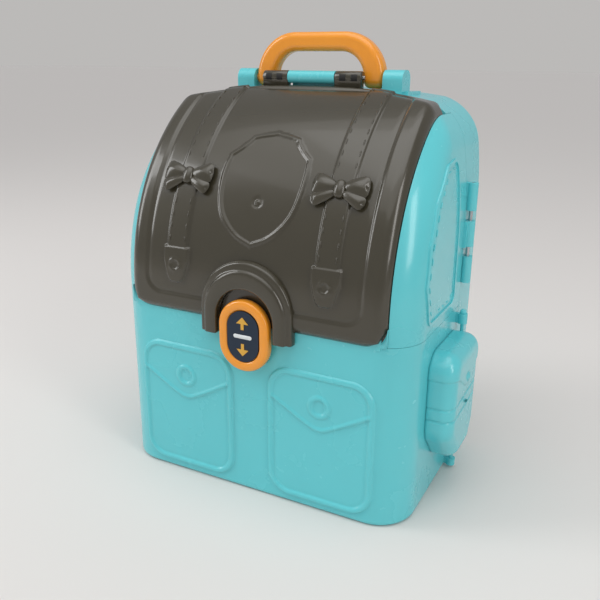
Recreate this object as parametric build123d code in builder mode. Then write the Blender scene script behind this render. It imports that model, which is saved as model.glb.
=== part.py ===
from build123d import *
import os
from math import cos, radians, sin, sqrt

os.makedirs("parts", exist_ok=True)

# A toy kitchen set that closes into a backpack-shaped carrying case.
# Millimetres. -Y is the front, +X is on the right of someone who faces the front,
# +Z is up, and the origin is the middle of the base.

# Case
case_width = 250.0
case_depth = 158.0
wall = 2.5
seam_from_front = 114.5
split_height = 142.0
crest_height = 306.0
corner_radius = 30.0
rear_radius = 12.0
foot_radius = 4.0
parting_gap = 0.3
front_lip_height = 6.0
side_straight_height = 200.0
side_dome_radius = 420.0
side_dome_turn = 9.0
shoulder_radius = 42.0
shoulder_turn = 66.0

# Flap
flap_stand = 4.0
flap_width = 214.0
flap_edge_radius = 9.0
flap_bottom = 140.0
flap_skirt = 15.0
flap_corner_radius = 18.0
flap_rear_corner_radius = 12.0
flap_rear_from_front = 102.0
flap_crown_height = 308.2
flap_crown_drop = 11.0
brow_start_height = 157.0
brow_radius = 165.0
brow_turn = 64.0
slope_radius = 40.0
slope_turn = 16.0
ridge_radius = 600.0
ridge_turn = 3.0
level_radius = 60.0
relief_height = 1.2
relief_root = 1.0
relief_rise = 0.6

# Flap hinge
hinge_from_front = 100.0
hinge_height = 313.5
knuckle_radius = 4.8
knuckle_half_length = 20.0
knuckle_root = 12.0
outer_knuckle_end = 42.0
hinge_rod_radius = 1.5
rod_clearance = 0.05
side_gap = 0.3

# Handle
handle_from_front = 114.0
pivot_height = 312.5
handle_half_width = 55.3
handle_grip_half_width = 38.0
handle_top = 347.0
grip_thickness = 14.5
handle_depth = 14.0
handle_corner_radius = 34.0
handle_inner_radius = 19.0
handle_edge_radius = 5.0
stub_radius = 4.0
stub_reach = 10.5
ear_gap = 0.5
ear_thickness = 15.7
ear_corner_radius = 7.2
ear_half_depth = 9.0
ear_top = 319.5
deck_height = 304.0
deck_half_width = 76.0
deck_behind_handle = 22.0
deck_thickness = 5.0

# Latch
latch_height = 134.5
latch_half_width = 21.0
latch_straight = 13.0
latch_rim = 7.8
latch_proud = 10.0
latch_back_gap = 1.6
latch_travel = 5.0
boss_half_width = 34.5
boss_proud = 5.0
boss_top = 186.0
boss_bottom = 132.5
boss_step = 4.0
boss_step_depth = 2.0
boss_root = 3.0
notch_gap = 3.0
notch_cut_from = 20.0
notch_cut_length = 60.0
stem_half_width = 8.0
stem_height = 12.0
stem_centre_height = 126.0
slot_gap = 0.5
latch_edge_radius = 2.5
latch_recess = 2.2
arrow_reach = 15.0
arrow_foot = 5.5
arrow_head = 5.0
arrow_shaft = 1.2
arrow_seat = 0.6
arrow_thickness = 0.4
slide_half_width = 16.0
slide_thickness = 3.0
slide_drop = 7.0
cover_room = 6.0
spring_seat_width = 8.0
spring_radius = 3.0
spring_wire = 0.8

# Front pockets
pocket_inner = 15.0
pocket_outer = 102.0
pocket_bottom = 6.5
pocket_top = 114.0
pocket_corner = 19.0
pocket_rim = 5.0
pocket_relief = 1.0
pocket_margin = 1.0
pocket_flap_tip = 66.0
pocket_flap_side = 88.0
button_height = 87.5
button_radius = 9.3
button_hole_radius = 5.5
pocket_line = 2.0

# Straps and shield on the flap
strap_offset = 62.0
strap_width = 19.0
strap_foot = 190.0
tab_width = 23.0
tab_tip = 165.5
tab_top = 193.0
bow_height = 242.5
bow_half_width = 21.0
bow_end = 8.0
bow_pinch = 3.0
shield_top = 275.0
shield_tip = 201.0
shield_crown = [(20.5, 268.5), (18.5, 271.5)]
shield_shoulder = (32.0, 259.5)
shield_waist = [(33.0, 246.0), (31.0, 230.0), (21.5, 212.0)]
shield_line = 2.2
strap_rear_gap = 4.0
tab_point = 4.5
tab_tip_half_width = 4.0
tab_waist = 183.0
bow_relief = 3.0
bow_knot_radius = 5.5

# Side doors
door_hinge_out = 2.5
door_hinge_behind_seam = 3.3
door_barrel_radius = 4.2
door_barrel_ends = (161.5, 182.5, 190.5, 210.5, 218.5, 239.5)
barrel_clearance = 0.4
panel_relief = 1.2
panel_line = 2.4
panel_corner_radius = 9.0
panel_corners = [(-47, 150), (-55, 180), (-50, 208), (-36, 236), (-12, 258), (14, 262), (17, 150)]

# Side pods
pod_reach = 22.0
pod_front_from_front = 41.0
pod_rear_from_front = 113.0
pod_bottom = 32.0
pod_top = 126.0
pod_wall = 2.0
pod_wall_gap = 0.3
pod_edge_radius = 11.0
pod_axis_out = 5.5
pod_axis_from_front = 109.0
pod_barrel_radius = 4.6
pod_corner_radius = 14.0
pod_low_radius = 12.0
pod_front_rise = 28.0
pod_front_run = 26.0
pod_rear_rise = 20.0
pod_rear_run = 12.0
pod_barrel_bottom = 11.0
pin_radius = 1.5
lug_radius = 3.6
lug_low = (3.0, 9.0)
lug_high = (130.0, 138.0)
bead_radius = 2.6

# Kitchen inside
seat_gap = 0.3
worktop_thickness = 3.0
post_radius = 4.5
post_x = 108.0
post_front_y = -52.0
post_rear_y = 20.0
hob_width = 122.0
hob_depth = 76.0
hob_x = -34.0
hob_y = -10.0
hob_thickness = 2.0
hob_corner = 8.0
burner_offset = 30.0
burner_radius = 24.0
burner_height = 2.5
burner_groove = 2.0
burner_rings = (0.4, 0.75)
pan_radius = 27.0
pan_wall = 1.8
saucepan_depth = 30.0
frying_pan_depth = 15.0
grip_length = 26.0
grip_width = 9.0
pan_grip_thickness = 5.0
lid_thickness = 2.2
lid_knob_radius = 5.0
lid_knob_height = 9.0
knob_radius = 9.0
knob_height = 8.0
knob_edge_radius = 1.5
knob_rib_half_width = 1.5
knob_rib_height = 2.0
knob_shaft_radius = 3.0
knob_shaft_length = 9.0
knob_offset = 14.0
knob_y = -60.0
sink_x = 64.0
sink_y = -8.0
sink_width = 58.0
sink_length = 74.0
sink_depth = 34.0
sink_wall = 1.8
sink_rim = 5.0
sink_corner = 12.0
drain_radius = 6.0
tap_y = 46.0
tap_base_radius = 8.5
tap_base_height = 12.0
tap_stem_radius = 4.0
tap_height = 46.0
tap_reach = 36.0
tap_tube_radius = 3.5
tap_bore_radius = 2.0
tap_pin_length = 10.0
nozzle_length = 8.0
board_thickness = 2.5
board_gap = 2.5
board_half_width = 98.0
board_bottom = 152.0
board_top = 272.0
board_post_radius = 4.0
board_post_inset = 8.0
shelf_height = 216.0
shelf_depth = 30.0
shelf_end = -8.0
shelf_lip = 6.0
peg_height = 250.0
peg_radius = 2.0
peg_length = 15.5
peg_clearance = 0.3
tool_first_x = 27.0
tool_spacing = 26.0
tool_thickness = 3.0
tool_from_board = 10.5
tool_top = 256.0
tool_handle_width = 7.0
tool_bottom = 168.0
ladle_radius = 11.0
prong_length = 20.0
prong_spacing = 6.0
prong_width = 3.0
blade_width = 20.0
blade_length = 30.0
blade_slot_width = 2.0
cup_radius = 13.0
cup_height = 24.0
cup_wall = 1.6
cup_first_x = -78.0
cup_spacing = 34.0
cup_ear_radius = 6.0
plate_radius = 26.0
plate_thickness = 3.0
plate_spacing = 7.0
plate_x = -60.0
plate_first_y = 58.0
stand_height = 9.0
stand_groove_depth = 6.0
stand_half_width = 22.0
tray_reach = 20.0
tray_wall = 1.8
tray_front_y = -38.0
tray_length = 49.0
tray_bottom = 182.0
tray_height = 16.0

# Fasteners
screw_radius = 1.5
screw_clearance = 0.1
screw_head_radius = 3.0
screw_head_height = 2.4
screw_seat = 8.0
screw_grip = 10.0
screw_post_radius = 4.2
screw_x = 108.0
screw_heights = (22.0, 118.0)

front_y = -case_depth / 2
back_y = case_depth / 2
half_width = case_width / 2
seam_y = front_y + seam_from_front
flap_front = front_y - flap_stand
flap_half_width = flap_width / 2
flap_rear = front_y + flap_rear_from_front
hinge_y = front_y + hinge_from_front
handle_y = front_y + handle_from_front
through = 400.0


def block(x0, x1, y0, y1, z0, z1, mode=Mode.ADD):
    """A box between two corners."""
    with Locations(((x0 + x1) / 2, (y0 + y1) / 2, (z0 + z1) / 2)):
        Box(x1 - x0, y1 - y0, z1 - z0, mode=mode)


def bar_x(x0, x1, y, z, radius, mode=Mode.ADD):
    """A round bar along X."""
    with Locations(Location(((x0 + x1) / 2, y, z), (0, 90, 0))):
        Cylinder(radius, x1 - x0, mode=mode)


def bar_y(x, y0, y1, z, radius, mode=Mode.ADD):
    """A round bar along Y."""
    with Locations(Location((x, (y0 + y1) / 2, z), (90, 0, 0))):
        Cylinder(radius, y1 - y0, mode=mode)


def bar_z(x, y, z0, z1, radius, mode=Mode.ADD):
    """A round bar along Z."""
    with Locations((x, y, (z0 + z1) / 2)):
        Cylinder(radius, z1 - z0, mode=mode)


def case_form(inset):
    """The closed case as one solid, drawn in by inset on every side."""
    stand = flap_stand + inset
    with BuildPart() as form:
        with BuildSketch(Plane.YZ.offset(-half_width + inset)):
            with BuildLine():
                floor = Line((back_y - inset, inset), (front_y + inset, inset))
                front = Line(floor @ 1, (front_y + inset, brow_start_height))
                brow = JernArc(front @ 1, (0, 1), brow_radius - stand, -brow_turn)
                slope = JernArc(brow @ 1, brow % 1, slope_radius - stand, -slope_turn)
                ridge = JernArc(slope @ 1, slope % 1, ridge_radius - stand, -ridge_turn)
                level_turn = 90 - brow_turn - slope_turn - ridge_turn
                level = JernArc(ridge @ 1, ridge % 1, level_radius - inset, -level_turn)
                roof = Line(level @ 1, (back_y - rear_radius, (level @ 1).Y))
                rear_top = JernArc(roof @ 1, (1, 0), rear_radius - inset, -90)
                Line(rear_top @ 1, floor @ 0)
            make_face()
        extrude(amount=case_width - 2 * inset)
        with BuildSketch(Plane.XZ.offset(-back_y)):
            with BuildLine():
                edge = half_width - inset
                floor_x = Line((-edge, inset), (edge, inset))
                side = Line(floor_x @ 1, (edge, side_straight_height))
                dome = JernArc(side @ 1, (0, 1), side_dome_radius - inset, side_dome_turn)
                turn = JernArc(dome @ 1, dome % 1, shoulder_radius - inset, shoulder_turn)
                for piece in (side, dome, turn):
                    mirror(piece, about=Plane.YZ)
                end = turn @ 1
                ThreePointArc(end, (0, crest_height - inset), (-end.X, end.Y))
            make_face()
        extrude(amount=case_depth, mode=Mode.INTERSECT)
        with BuildSketch():
            Rectangle(case_width - 2 * inset, case_depth - 2 * inset)
            fillet(vertices().group_by(Axis.Y)[-1], rear_radius - inset)
        extrude(amount=through, mode=Mode.INTERSECT)
        corner = [
            edge for edge in form.edges()
            if abs(edge.tangent_at(0.5).X) < 0.9 and abs(edge.tangent_at(0.5).Y) < 0.999
            and edge.center().Y < back_y - rear_radius - 1 and abs(edge.center().X) > deck_half_width / 2
        ]
        fillet(corner, corner_radius - inset)
        if inset < foot_radius:
            fillet(form.faces().sort_by(Axis.Z)[0].edges(), foot_radius - inset)
    return form.part


def flap_profile(inset, bottom):
    """The lines of the flap's side view, from its front face over the brow to the hinge."""
    front = Line((flap_front + inset, bottom), (flap_front + inset, brow_start_height))
    brow = JernArc(front @ 1, (0, 1), brow_radius - inset, -brow_turn)
    slope = JernArc(brow @ 1, brow % 1, slope_radius - inset, -slope_turn)
    ridge = JernArc(slope @ 1, slope % 1, ridge_radius - inset, -ridge_turn)
    Polyline(ridge @ 1, ((ridge @ 1).X, bottom), front @ 0)


def flap_form(inset):
    """The flap as one solid block down to the hinge, drawn in by inset on every side."""
    bottom = flap_bottom + inset
    with BuildPart() as form:
        with BuildSketch(Plane.YZ.offset(-flap_half_width + inset)):
            with BuildLine():
                flap_profile(inset, bottom)
            make_face()
        extrude(amount=flap_width - 2 * inset)
        with BuildSketch(Plane.XZ.offset(inset - flap_rear)):
            edge = flap_half_width - inset
            shoulder = flap_crown_height - flap_crown_drop - inset
            with BuildLine():
                Polyline((-edge, shoulder), (-edge, bottom), (edge, bottom), (edge, shoulder))
                ThreePointArc((edge, shoulder), (0, flap_crown_height - inset), (-edge, shoulder))
            make_face()
            fillet(vertices().group_by(Axis.Y)[-1], flap_rear_corner_radius - inset)
            fillet(vertices().group_by(Axis.Y)[0], flap_corner_radius - inset)
        extrude(amount=2 * case_depth, mode=Mode.INTERSECT)
        rim = [
            rim_edge for rim_edge in form.edges()
            if rim_edge.center().Y < flap_rear - inset - 1
            and abs(rim_edge.tangent_at(0.5).Y) < 0.999
            and (abs(rim_edge.center().X) > 1 or rim_edge.center().Z < bottom + 1)
        ]
        fillet(rim, flap_edge_radius - inset)
    return form.part


def pair(low, high, side):
    """An X interval for the right-hand side, turned over for the left."""
    return (low, high) if side > 0 else (-high, -low)


case = case_form(0)
hollow = case_form(wall)
flap_block = flap_form(0)
flap_hollow = flap_form(wall)
flap_root = flap_form(relief_root)
door_inner_edge = flap_half_width + parting_gap
door_axis_x = half_width + door_hinge_out
door_axis_y = seam_y + door_hinge_behind_seam
rod_bore = hinge_rod_radius + rod_clearance
pin_bore = pin_radius + rod_clearance
worktop_top = split_height - parting_gap
worktop_bottom = worktop_top - worktop_thickness
barrel_cut = door_barrel_radius + barrel_clearance
low_start, low_end, mid_start, mid_end, high_start, high_end = door_barrel_ends
web_reach = door_barrel_radius - 1

# Rear shell, with the ears, the hinge bracket, the door barrels and the screw tubes
with BuildPart() as back_shell:
    add(case)
    add(hollow, mode=Mode.SUBTRACT)
    block(-through, through, -through, seam_y, -1, brow_start_height, mode=Mode.SUBTRACT)
    block(-through, through, -through, flap_rear + ear_gap, 0, through, mode=Mode.SUBTRACT)
    for side in (-1, 1):
        x0, x1 = pair(door_inner_edge - 2 * parting_gap, through, side)
        block(x0, x1, -through, seam_y, 0, through, mode=Mode.SUBTRACT)
    block(-deck_half_width, deck_half_width, hinge_y + knuckle_radius + 2, handle_y + deck_behind_handle,
          deck_height - deck_thickness, deck_height)
    for side in (-1, 1):
        x0, x1 = pair(handle_half_width + ear_gap, handle_half_width + ear_gap + ear_thickness, side)
        with BuildSketch(Plane.YZ.offset(x0)):
            with Locations((handle_y, (deck_height + ear_top) / 2 - 1)):
                Rectangle(2 * ear_half_depth, ear_top - deck_height + 2)
            fillet(vertices().group_by(Axis.Y)[-1], ear_corner_radius)
        extrude(amount=ear_thickness)
    block(-knuckle_half_length, knuckle_half_length, hinge_y, hinge_y + knuckle_root,
          hinge_height - knuckle_radius, hinge_height)
    block(-knuckle_half_length, knuckle_half_length, hinge_y + knuckle_radius, hinge_y + knuckle_root,
          deck_height - 3, hinge_height)
    bar_x(-knuckle_half_length, knuckle_half_length, hinge_y, hinge_height, knuckle_radius)
    bar_x(-through, through, hinge_y, hinge_height, rod_bore, mode=Mode.SUBTRACT)
    stub_end = handle_half_width + stub_reach + parting_gap
    bar_x(-stub_end, stub_end, handle_y, pivot_height, stub_radius + rod_clearance,
          mode=Mode.SUBTRACT)
    for z in screw_heights:
        for x in (-screw_x, screw_x):
            bar_y(x, seam_y, back_y - wall / 2, z, screw_post_radius)
    for side in (-1, 1):
        for z0, z1 in ((low_start, low_end), (high_start, high_end)):
            x0, x1 = pair(half_width - wall - 1, door_axis_x, side)
            block(x0, x1, door_axis_y - web_reach, door_axis_y + web_reach, z0, z1)
            bar_z(side * door_axis_x, door_axis_y, z0, z1, door_barrel_radius)
        bar_z(side * door_axis_x, door_axis_y, mid_start - barrel_clearance,
              mid_end + barrel_clearance, barrel_cut, mode=Mode.SUBTRACT)
        x0, x1 = pair(half_width - wall - 2, through, side)
        block(x0, x1, seam_y - 1, door_axis_y + barrel_clearance, mid_start - barrel_clearance,
              mid_end + barrel_clearance, mode=Mode.SUBTRACT)
        bar_z(side * door_axis_x, door_axis_y, low_start - 1, high_end + 1, pin_bore,
              mode=Mode.SUBTRACT)
    for z in screw_heights:
        for x in (-screw_x, screw_x):
            bar_y(x, seam_y - 1, back_y + 1, z, screw_radius + screw_clearance, mode=Mode.SUBTRACT)
            bar_y(x, seam_y + screw_seat, back_y + 1, z, screw_head_radius + seat_gap,
                  mode=Mode.SUBTRACT)
back_shell.part.label = "back_shell"
export_step(back_shell.part, "parts/back_shell.step")


def pocket_ridges(middle):
    """The raised lines of one front pocket, drawn on a sketch in front view."""
    width = pocket_outer - pocket_inner - 2 * pocket_margin
    height = pocket_top - pocket_bottom - 2 * pocket_margin
    rim = pocket_rim - 2 * pocket_margin
    corner = pocket_corner - pocket_margin
    with Locations((middle, (pocket_top + pocket_bottom) / 2)):
        RectangleRounded(width, height, corner)
        RectangleRounded(width - 2 * rim, height - 2 * rim, corner - rim, mode=Mode.SUBTRACT)
    edge = width / 2 - rim / 2
    Polygon((middle - edge, pocket_flap_side), (middle, pocket_flap_tip),
            (middle + edge, pocket_flap_side), (middle + edge, pocket_flap_side + pocket_line),
            (middle, pocket_flap_tip + pocket_line), (middle - edge, pocket_flap_side + pocket_line),
            align=None)
    with Locations((middle, button_height)):
        Circle(button_radius - pocket_margin)
        Circle(button_hole_radius + pocket_margin, mode=Mode.SUBTRACT)


# The pockets' raised lines follow the front of the case, a little further out
with BuildPart() as pocket_lines:
    with Locations((0, -pocket_relief, 0)):
        add(case)
    with BuildSketch(Plane.XZ.offset(-front_y - corner_radius)):
        for middle in (-(pocket_inner + pocket_outer) / 2, (pocket_inner + pocket_outer) / 2):
            pocket_ridges(middle)
    extrude(amount=through, mode=Mode.INTERSECT)
    add(hollow, mode=Mode.SUBTRACT)

# Lower case, with the front pockets, the worktop posts and the pods' hinge lugs
pod_axis_x = half_width + pod_axis_out
pod_axis_y = front_y + pod_axis_from_front
with BuildPart() as lower_case:
    add(case)
    add(hollow, mode=Mode.SUBTRACT)
    block(-through, through, -through, through, split_height, through, mode=Mode.SUBTRACT)
    block(-through, through, seam_y - parting_gap, through, -1, through, mode=Mode.SUBTRACT)
    lip_half_width = flap_half_width - wall - 1.5
    block(-lip_half_width, lip_half_width, front_y, front_y + wall, split_height - 2,
          split_height + front_lip_height)
    add(pocket_lines.part)
    for x in (-post_x, post_x):
        for y in (post_front_y, post_rear_y):
            bar_z(x, y, wall / 2, worktop_bottom, post_radius)
    for z in screw_heights:
        for side in (-1, 1):
            x = side * screw_x
            bar_y(x, seam_y - parting_gap - screw_grip - 2, seam_y - parting_gap, z,
                  screw_post_radius)
            x0, x1 = pair(screw_x, half_width - wall / 2, side)
            block(x0, x1, seam_y - screw_grip, seam_y - parting_gap, z - 1, z + 1)
            bar_y(x, seam_y - screw_grip - 1, seam_y, z, screw_radius + screw_clearance,
                  mode=Mode.SUBTRACT)
    for side in (-1, 1):
        for z0, z1 in (lug_low, lug_high):
            x0, x1 = pair(half_width - wall / 2, pod_axis_x, side)
            block(x0, x1, pod_axis_y - pin_radius, pod_axis_y + pin_radius, z0, z1)
            bar_z(side * pod_axis_x, pod_axis_y, z0, z1, lug_radius)
        bar_z(side * pod_axis_x, pod_axis_y, 0, split_height, pin_bore, mode=Mode.SUBTRACT)
    block(-stem_half_width - slot_gap, stem_half_width + slot_gap, front_y - 1, front_y + wall + 1,
          stem_centre_height - stem_height / 2 - latch_travel - slot_gap,
          stem_centre_height + stem_height / 2 + latch_travel + slot_gap, mode=Mode.SUBTRACT)
lower_case.part.label = "lower_case"
export_step(lower_case.part, "parts/lower_case.step")

# Case screws, driven from behind through the tubes into the lower case
with BuildPart() as case_screws:
    for z in screw_heights:
        for x in (-screw_x, screw_x):
            bar_y(x, seam_y - screw_grip, seam_y + screw_seat, z, screw_radius)
            bar_y(x, seam_y + screw_seat, seam_y + screw_seat + screw_head_height, z,
                  screw_head_radius)
case_screws.part.label = "case_screws"
export_step(case_screws.part, "parts/case_screws.step")


# Right-hand side door, from the flap's edge round the corner to the seam
with BuildPart() as right_door_shell:
    add(case)
    add(hollow, mode=Mode.SUBTRACT)
    block(-through, door_inner_edge, -through, through, -1, through, mode=Mode.SUBTRACT)
    block(-through, through, -through, through, -1, split_height + parting_gap, mode=Mode.SUBTRACT)
    block(-through, through, seam_y - parting_gap, through, -1, through, mode=Mode.SUBTRACT)
    for z0, z1 in ((low_start, low_end), (high_start, high_end)):
        bar_z(door_axis_x, door_axis_y, z0 - barrel_clearance, z1 + barrel_clearance, barrel_cut,
              mode=Mode.SUBTRACT)
    block(half_width - wall - 1, door_axis_x, seam_y - 5, door_axis_y, mid_start, mid_end)
    bar_z(door_axis_x, door_axis_y, mid_start, mid_end, door_barrel_radius)
    bar_z(door_axis_x, door_axis_y, mid_start - 1, mid_end + 1, pin_bore, mode=Mode.SUBTRACT)

# The relief skin follows the door's own surface, a little further out
with BuildPart() as door_skin:
    with Locations((panel_relief, 0, 0)):
        add(case)
    with BuildSketch(Plane.YZ.offset(half_width - corner_radius)):
        Polygon(*panel_corners, align=None)
        fillet(vertices(), panel_corner_radius)
        offset(amount=-panel_line, mode=Mode.SUBTRACT)
    extrude(amount=through, mode=Mode.INTERSECT)
    add(hollow, mode=Mode.SUBTRACT)

with BuildPart() as right_door:
    add(right_door_shell.part)
    add(door_skin.part)
right_door.part.label = "right_door"
export_step(right_door.part, "parts/right_door.step")
with BuildPart() as left_door:
    mirror(right_door.part, about=Plane.YZ)
left_door.part.label = "left_door"
export_step(left_door.part, "parts/left_door.step")

# Door hinge pins
with BuildPart() as right_door_pin:
    bar_z(door_axis_x, door_axis_y, low_start, high_end, pin_radius)
right_door_pin.part.label = "right_door_pin"
export_step(right_door_pin.part, "parts/right_door_pin.step")
with BuildPart() as left_door_pin:
    mirror(right_door_pin.part, about=Plane.YZ)
left_door_pin.part.label = "left_door_pin"
export_step(left_door_pin.part, "parts/left_door_pin.step")

# What stands up from the flap's surface: straps, tabs, bows and the shield's line
with BuildPart() as flap_trim:
    with Locations((0, -relief_height, relief_height * relief_rise)):
        add(flap_block)
    with BuildSketch(Plane.XZ.offset(-flap_rear + strap_rear_gap)):
        with BuildLine():
            high_side, side_low, belly = shield_waist
            edges = [
                Polyline(shield_shoulder, *shield_crown, (0, shield_top)),
                ThreePointArc(shield_shoulder, high_side, side_low),
                ThreePointArc(side_low, belly, (0, shield_tip)),
            ]
            for edge in edges:
                mirror(edge, about=Plane.YZ)
        make_face()
        offset(amount=-shield_line, mode=Mode.SUBTRACT)
        for x in (-strap_offset, strap_offset):
            with Locations((x, (strap_foot + through) / 2)):
                Rectangle(strap_width, through - strap_foot)
            Polygon((x - tab_width / 2, tab_top), (x - tab_width / 2, tab_waist),
                    (x - 2 * tab_tip_half_width, tab_tip + tab_point), (x - tab_tip_half_width, tab_tip),
                    (x + tab_tip_half_width, tab_tip), (x + 2 * tab_tip_half_width, tab_tip + tab_point),
                    (x + tab_width / 2, tab_waist), (x + tab_width / 2, tab_top), align=None)
    extrude(amount=through, mode=Mode.INTERSECT)
    add(flap_root, mode=Mode.SUBTRACT)

with BuildPart() as flap_bows:
    with Locations((0, -bow_relief, bow_relief * relief_rise)):
        add(flap_block)
    with BuildSketch(Plane.XZ.offset(-flap_rear + strap_rear_gap)):
        for x in (-strap_offset, strap_offset):
            for side in (-1, 1):
                Polygon((x, bow_height + bow_pinch), (x + side * bow_half_width, bow_height + bow_end),
                        (x + side * bow_half_width, bow_height - bow_end), (x, bow_height - bow_pinch),
                        align=None)
            with Locations((x, bow_height)):
                Circle(bow_knot_radius)
    extrude(amount=through, mode=Mode.INTERSECT)
    add(flap_root, mode=Mode.SUBTRACT)

boss_radius = boss_half_width
boss_top_centre = boss_top - boss_radius
notch_half_width = latch_half_width + notch_gap
notch_top_centre = latch_height + latch_straight / 2 + latch_travel

# Flap, with its relief, the arch round the latch and the hinge barrels
with BuildPart() as case_flap:
    add(flap_block)
    add(flap_hollow, mode=Mode.SUBTRACT)
    with BuildSketch(Plane.YZ.offset(-half_width)):
        with BuildLine():
            flap_profile(flap_skirt, flap_bottom - 1)
        make_face()
    extrude(amount=case_width, mode=Mode.SUBTRACT)
    edge = flap_half_width - wall
    block(-edge, edge, front_y - parting_gap, front_y + flap_skirt, flap_bottom - 1,
          split_height + front_lip_height + 0.6, mode=Mode.SUBTRACT)
    block(-through, through, front_y - parting_gap, through, flap_bottom - 1,
          split_height + parting_gap, mode=Mode.SUBTRACT)
    add(flap_trim.part)
    add(flap_bows.part)
    with BuildSketch(Plane.XZ.offset(-front_y - boss_root)):
        with Locations((0, boss_top_centre)):
            Circle(boss_half_width + boss_step)
        with Locations((0, boss_top_centre - through / 2)):
            Rectangle(through, through, mode=Mode.SUBTRACT)
    extrude(amount=boss_root + parting_gap)
    for half, proud in ((boss_half_width + boss_step, boss_proud - boss_step_depth),
                        (boss_half_width, boss_proud)):
        top_centre = boss_top_centre
        with BuildSketch(Plane.XZ.offset(-front_y + parting_gap)):
            with Locations((0, top_centre)):
                Circle(half)
            with Locations((0, (top_centre + boss_bottom) / 2)):
                Rectangle(2 * half, top_centre - boss_bottom)
            with Locations((0, boss_bottom - half)):
                Rectangle(2 * half, 2 * half, mode=Mode.SUBTRACT)
        extrude(amount=flap_stand - parting_gap + proud)
    with BuildSketch(Plane.XZ.offset(-front_y - notch_cut_from)):
        with Locations((0, notch_top_centre)):
            Circle(notch_half_width)
        with Locations((0, notch_top_centre - through / 2)):
            Rectangle(2 * notch_half_width, through)
    extrude(amount=notch_cut_length, mode=Mode.SUBTRACT)
    for side in (-1, 1):
        x0, x1 = pair(knuckle_half_length + side_gap, outer_knuckle_end, side)
        block(x0, x1, flap_rear - 6, flap_rear, deck_height - 1, hinge_height)
        bar_x(x0, x1, hinge_y, hinge_height, knuckle_radius)
    bar_x(-outer_knuckle_end - 1, outer_knuckle_end + 1, hinge_y, hinge_height, rod_bore,
          mode=Mode.SUBTRACT)
case_flap.part.label = "case_flap"
export_step(case_flap.part, "parts/case_flap.step")

with BuildPart() as flap_hinge_rod:
    bar_x(-outer_knuckle_end - 2, outer_knuckle_end + 2, hinge_y, hinge_height, hinge_rod_radius)
flap_hinge_rod.part.label = "flap_hinge_rod"
export_step(flap_hinge_rod.part, "parts/flap_hinge_rod.step")

# Carrying handle, an arch on two stubs
with BuildPart() as carry_handle:
    arm_foot = pivot_height - handle_depth / 2
    with BuildSketch(Plane.XZ.offset(-handle_y - handle_depth / 2)):
        with Locations((0, (handle_top + arm_foot) / 2)):
            Rectangle(2 * handle_half_width, handle_top - arm_foot)
        fillet(vertices().group_by(Axis.Y)[-1], handle_corner_radius)
        with BuildSketch(mode=Mode.PRIVATE) as grip_room:
            with Locations((0, (handle_top - grip_thickness + arm_foot) / 2)):
                Rectangle(2 * handle_grip_half_width, handle_top - grip_thickness - arm_foot)
            fillet(vertices().group_by(Axis.Y)[-1], handle_inner_radius)
        add(grip_room.sketch, mode=Mode.SUBTRACT)
    extrude(amount=handle_depth)
    feet = carry_handle.edges().filter_by(Axis.X).group_by(Axis.Z)[0]
    fillet(feet, handle_depth / 2 - 0.2)
    grip_edges = carry_handle.edges().filter_by(
        lambda one: one.center().Z > pivot_height + handle_depth / 2 + 1
        and abs(one.tangent_at(0.5).Y) < 0.5)
    fillet(grip_edges, handle_edge_radius)
    bar_x(-handle_half_width - stub_reach, handle_half_width + stub_reach, handle_y, pivot_height,
          stub_radius)
    block(-handle_grip_half_width, handle_grip_half_width, handle_y - handle_depth,
          handle_y + handle_depth, pivot_height - handle_depth, pivot_height + stub_radius + 1,
          mode=Mode.SUBTRACT)
carry_handle.part.label = "carry_handle"
export_step(carry_handle.part, "parts/carry_handle.step")

# Latch: an oval button with a stem through the case, a slide behind and two springs
latch_front_y = front_y - latch_proud
latch_back_y = front_y - latch_back_gap
stem_top = stem_centre_height + stem_height / 2
stem_bottom = stem_centre_height - stem_height / 2
slide_front_y = front_y + wall + seat_gap
slide_top = stem_top + 1
slide_bottom = stem_bottom - slide_drop
with BuildPart() as latch_button:
    with BuildSketch(Plane.XZ.offset(-latch_back_y)):
        with Locations((0, latch_height)):
            SlotCenterToCenter(latch_straight, 2 * latch_half_width, rotation=90)
    extrude(amount=latch_back_y - latch_front_y)
    fillet(latch_button.faces().sort_by(Axis.Y)[0].edges(), latch_edge_radius)
    with BuildSketch(Plane.XZ.offset(-latch_front_y)):
        with Locations((0, latch_height)):
            SlotCenterToCenter(latch_straight, 2 * (latch_half_width - latch_rim), rotation=90)
    extrude(amount=-latch_recess, mode=Mode.SUBTRACT)
    block(-stem_half_width, stem_half_width, latch_back_y, slide_front_y, stem_bottom, stem_top)
latch_button.part.label = "latch_button"
export_step(latch_button.part, "parts/latch_button.step")

with BuildPart() as latch_insert:
    with BuildSketch(Plane.XZ.offset(-latch_front_y - latch_recess)):
        with Locations((0, latch_height)):
            SlotCenterToCenter(latch_straight, 2 * (latch_half_width - latch_rim - rod_clearance),
                               rotation=90)
    extrude(amount=latch_recess - arrow_seat)
latch_insert.part.label = "latch_insert"
export_step(latch_insert.part, "parts/latch_insert.step")

with BuildPart() as latch_arrows:
    with BuildSketch(Plane.XZ.offset(-latch_front_y - arrow_seat)):
        for way in (-1, 1):
            tip = latch_height + way * arrow_reach
            neck = tip - way * arrow_head
            foot = latch_height + way * arrow_foot
            Polygon((0, tip), (arrow_head, neck), (arrow_shaft, neck), (arrow_shaft, foot),
                    (-arrow_shaft, foot), (-arrow_shaft, neck), (-arrow_head, neck), align=None)
    extrude(amount=arrow_thickness)
latch_arrows.part.label = "latch_arrows"
export_step(latch_arrows.part, "parts/latch_arrows.step")

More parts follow.
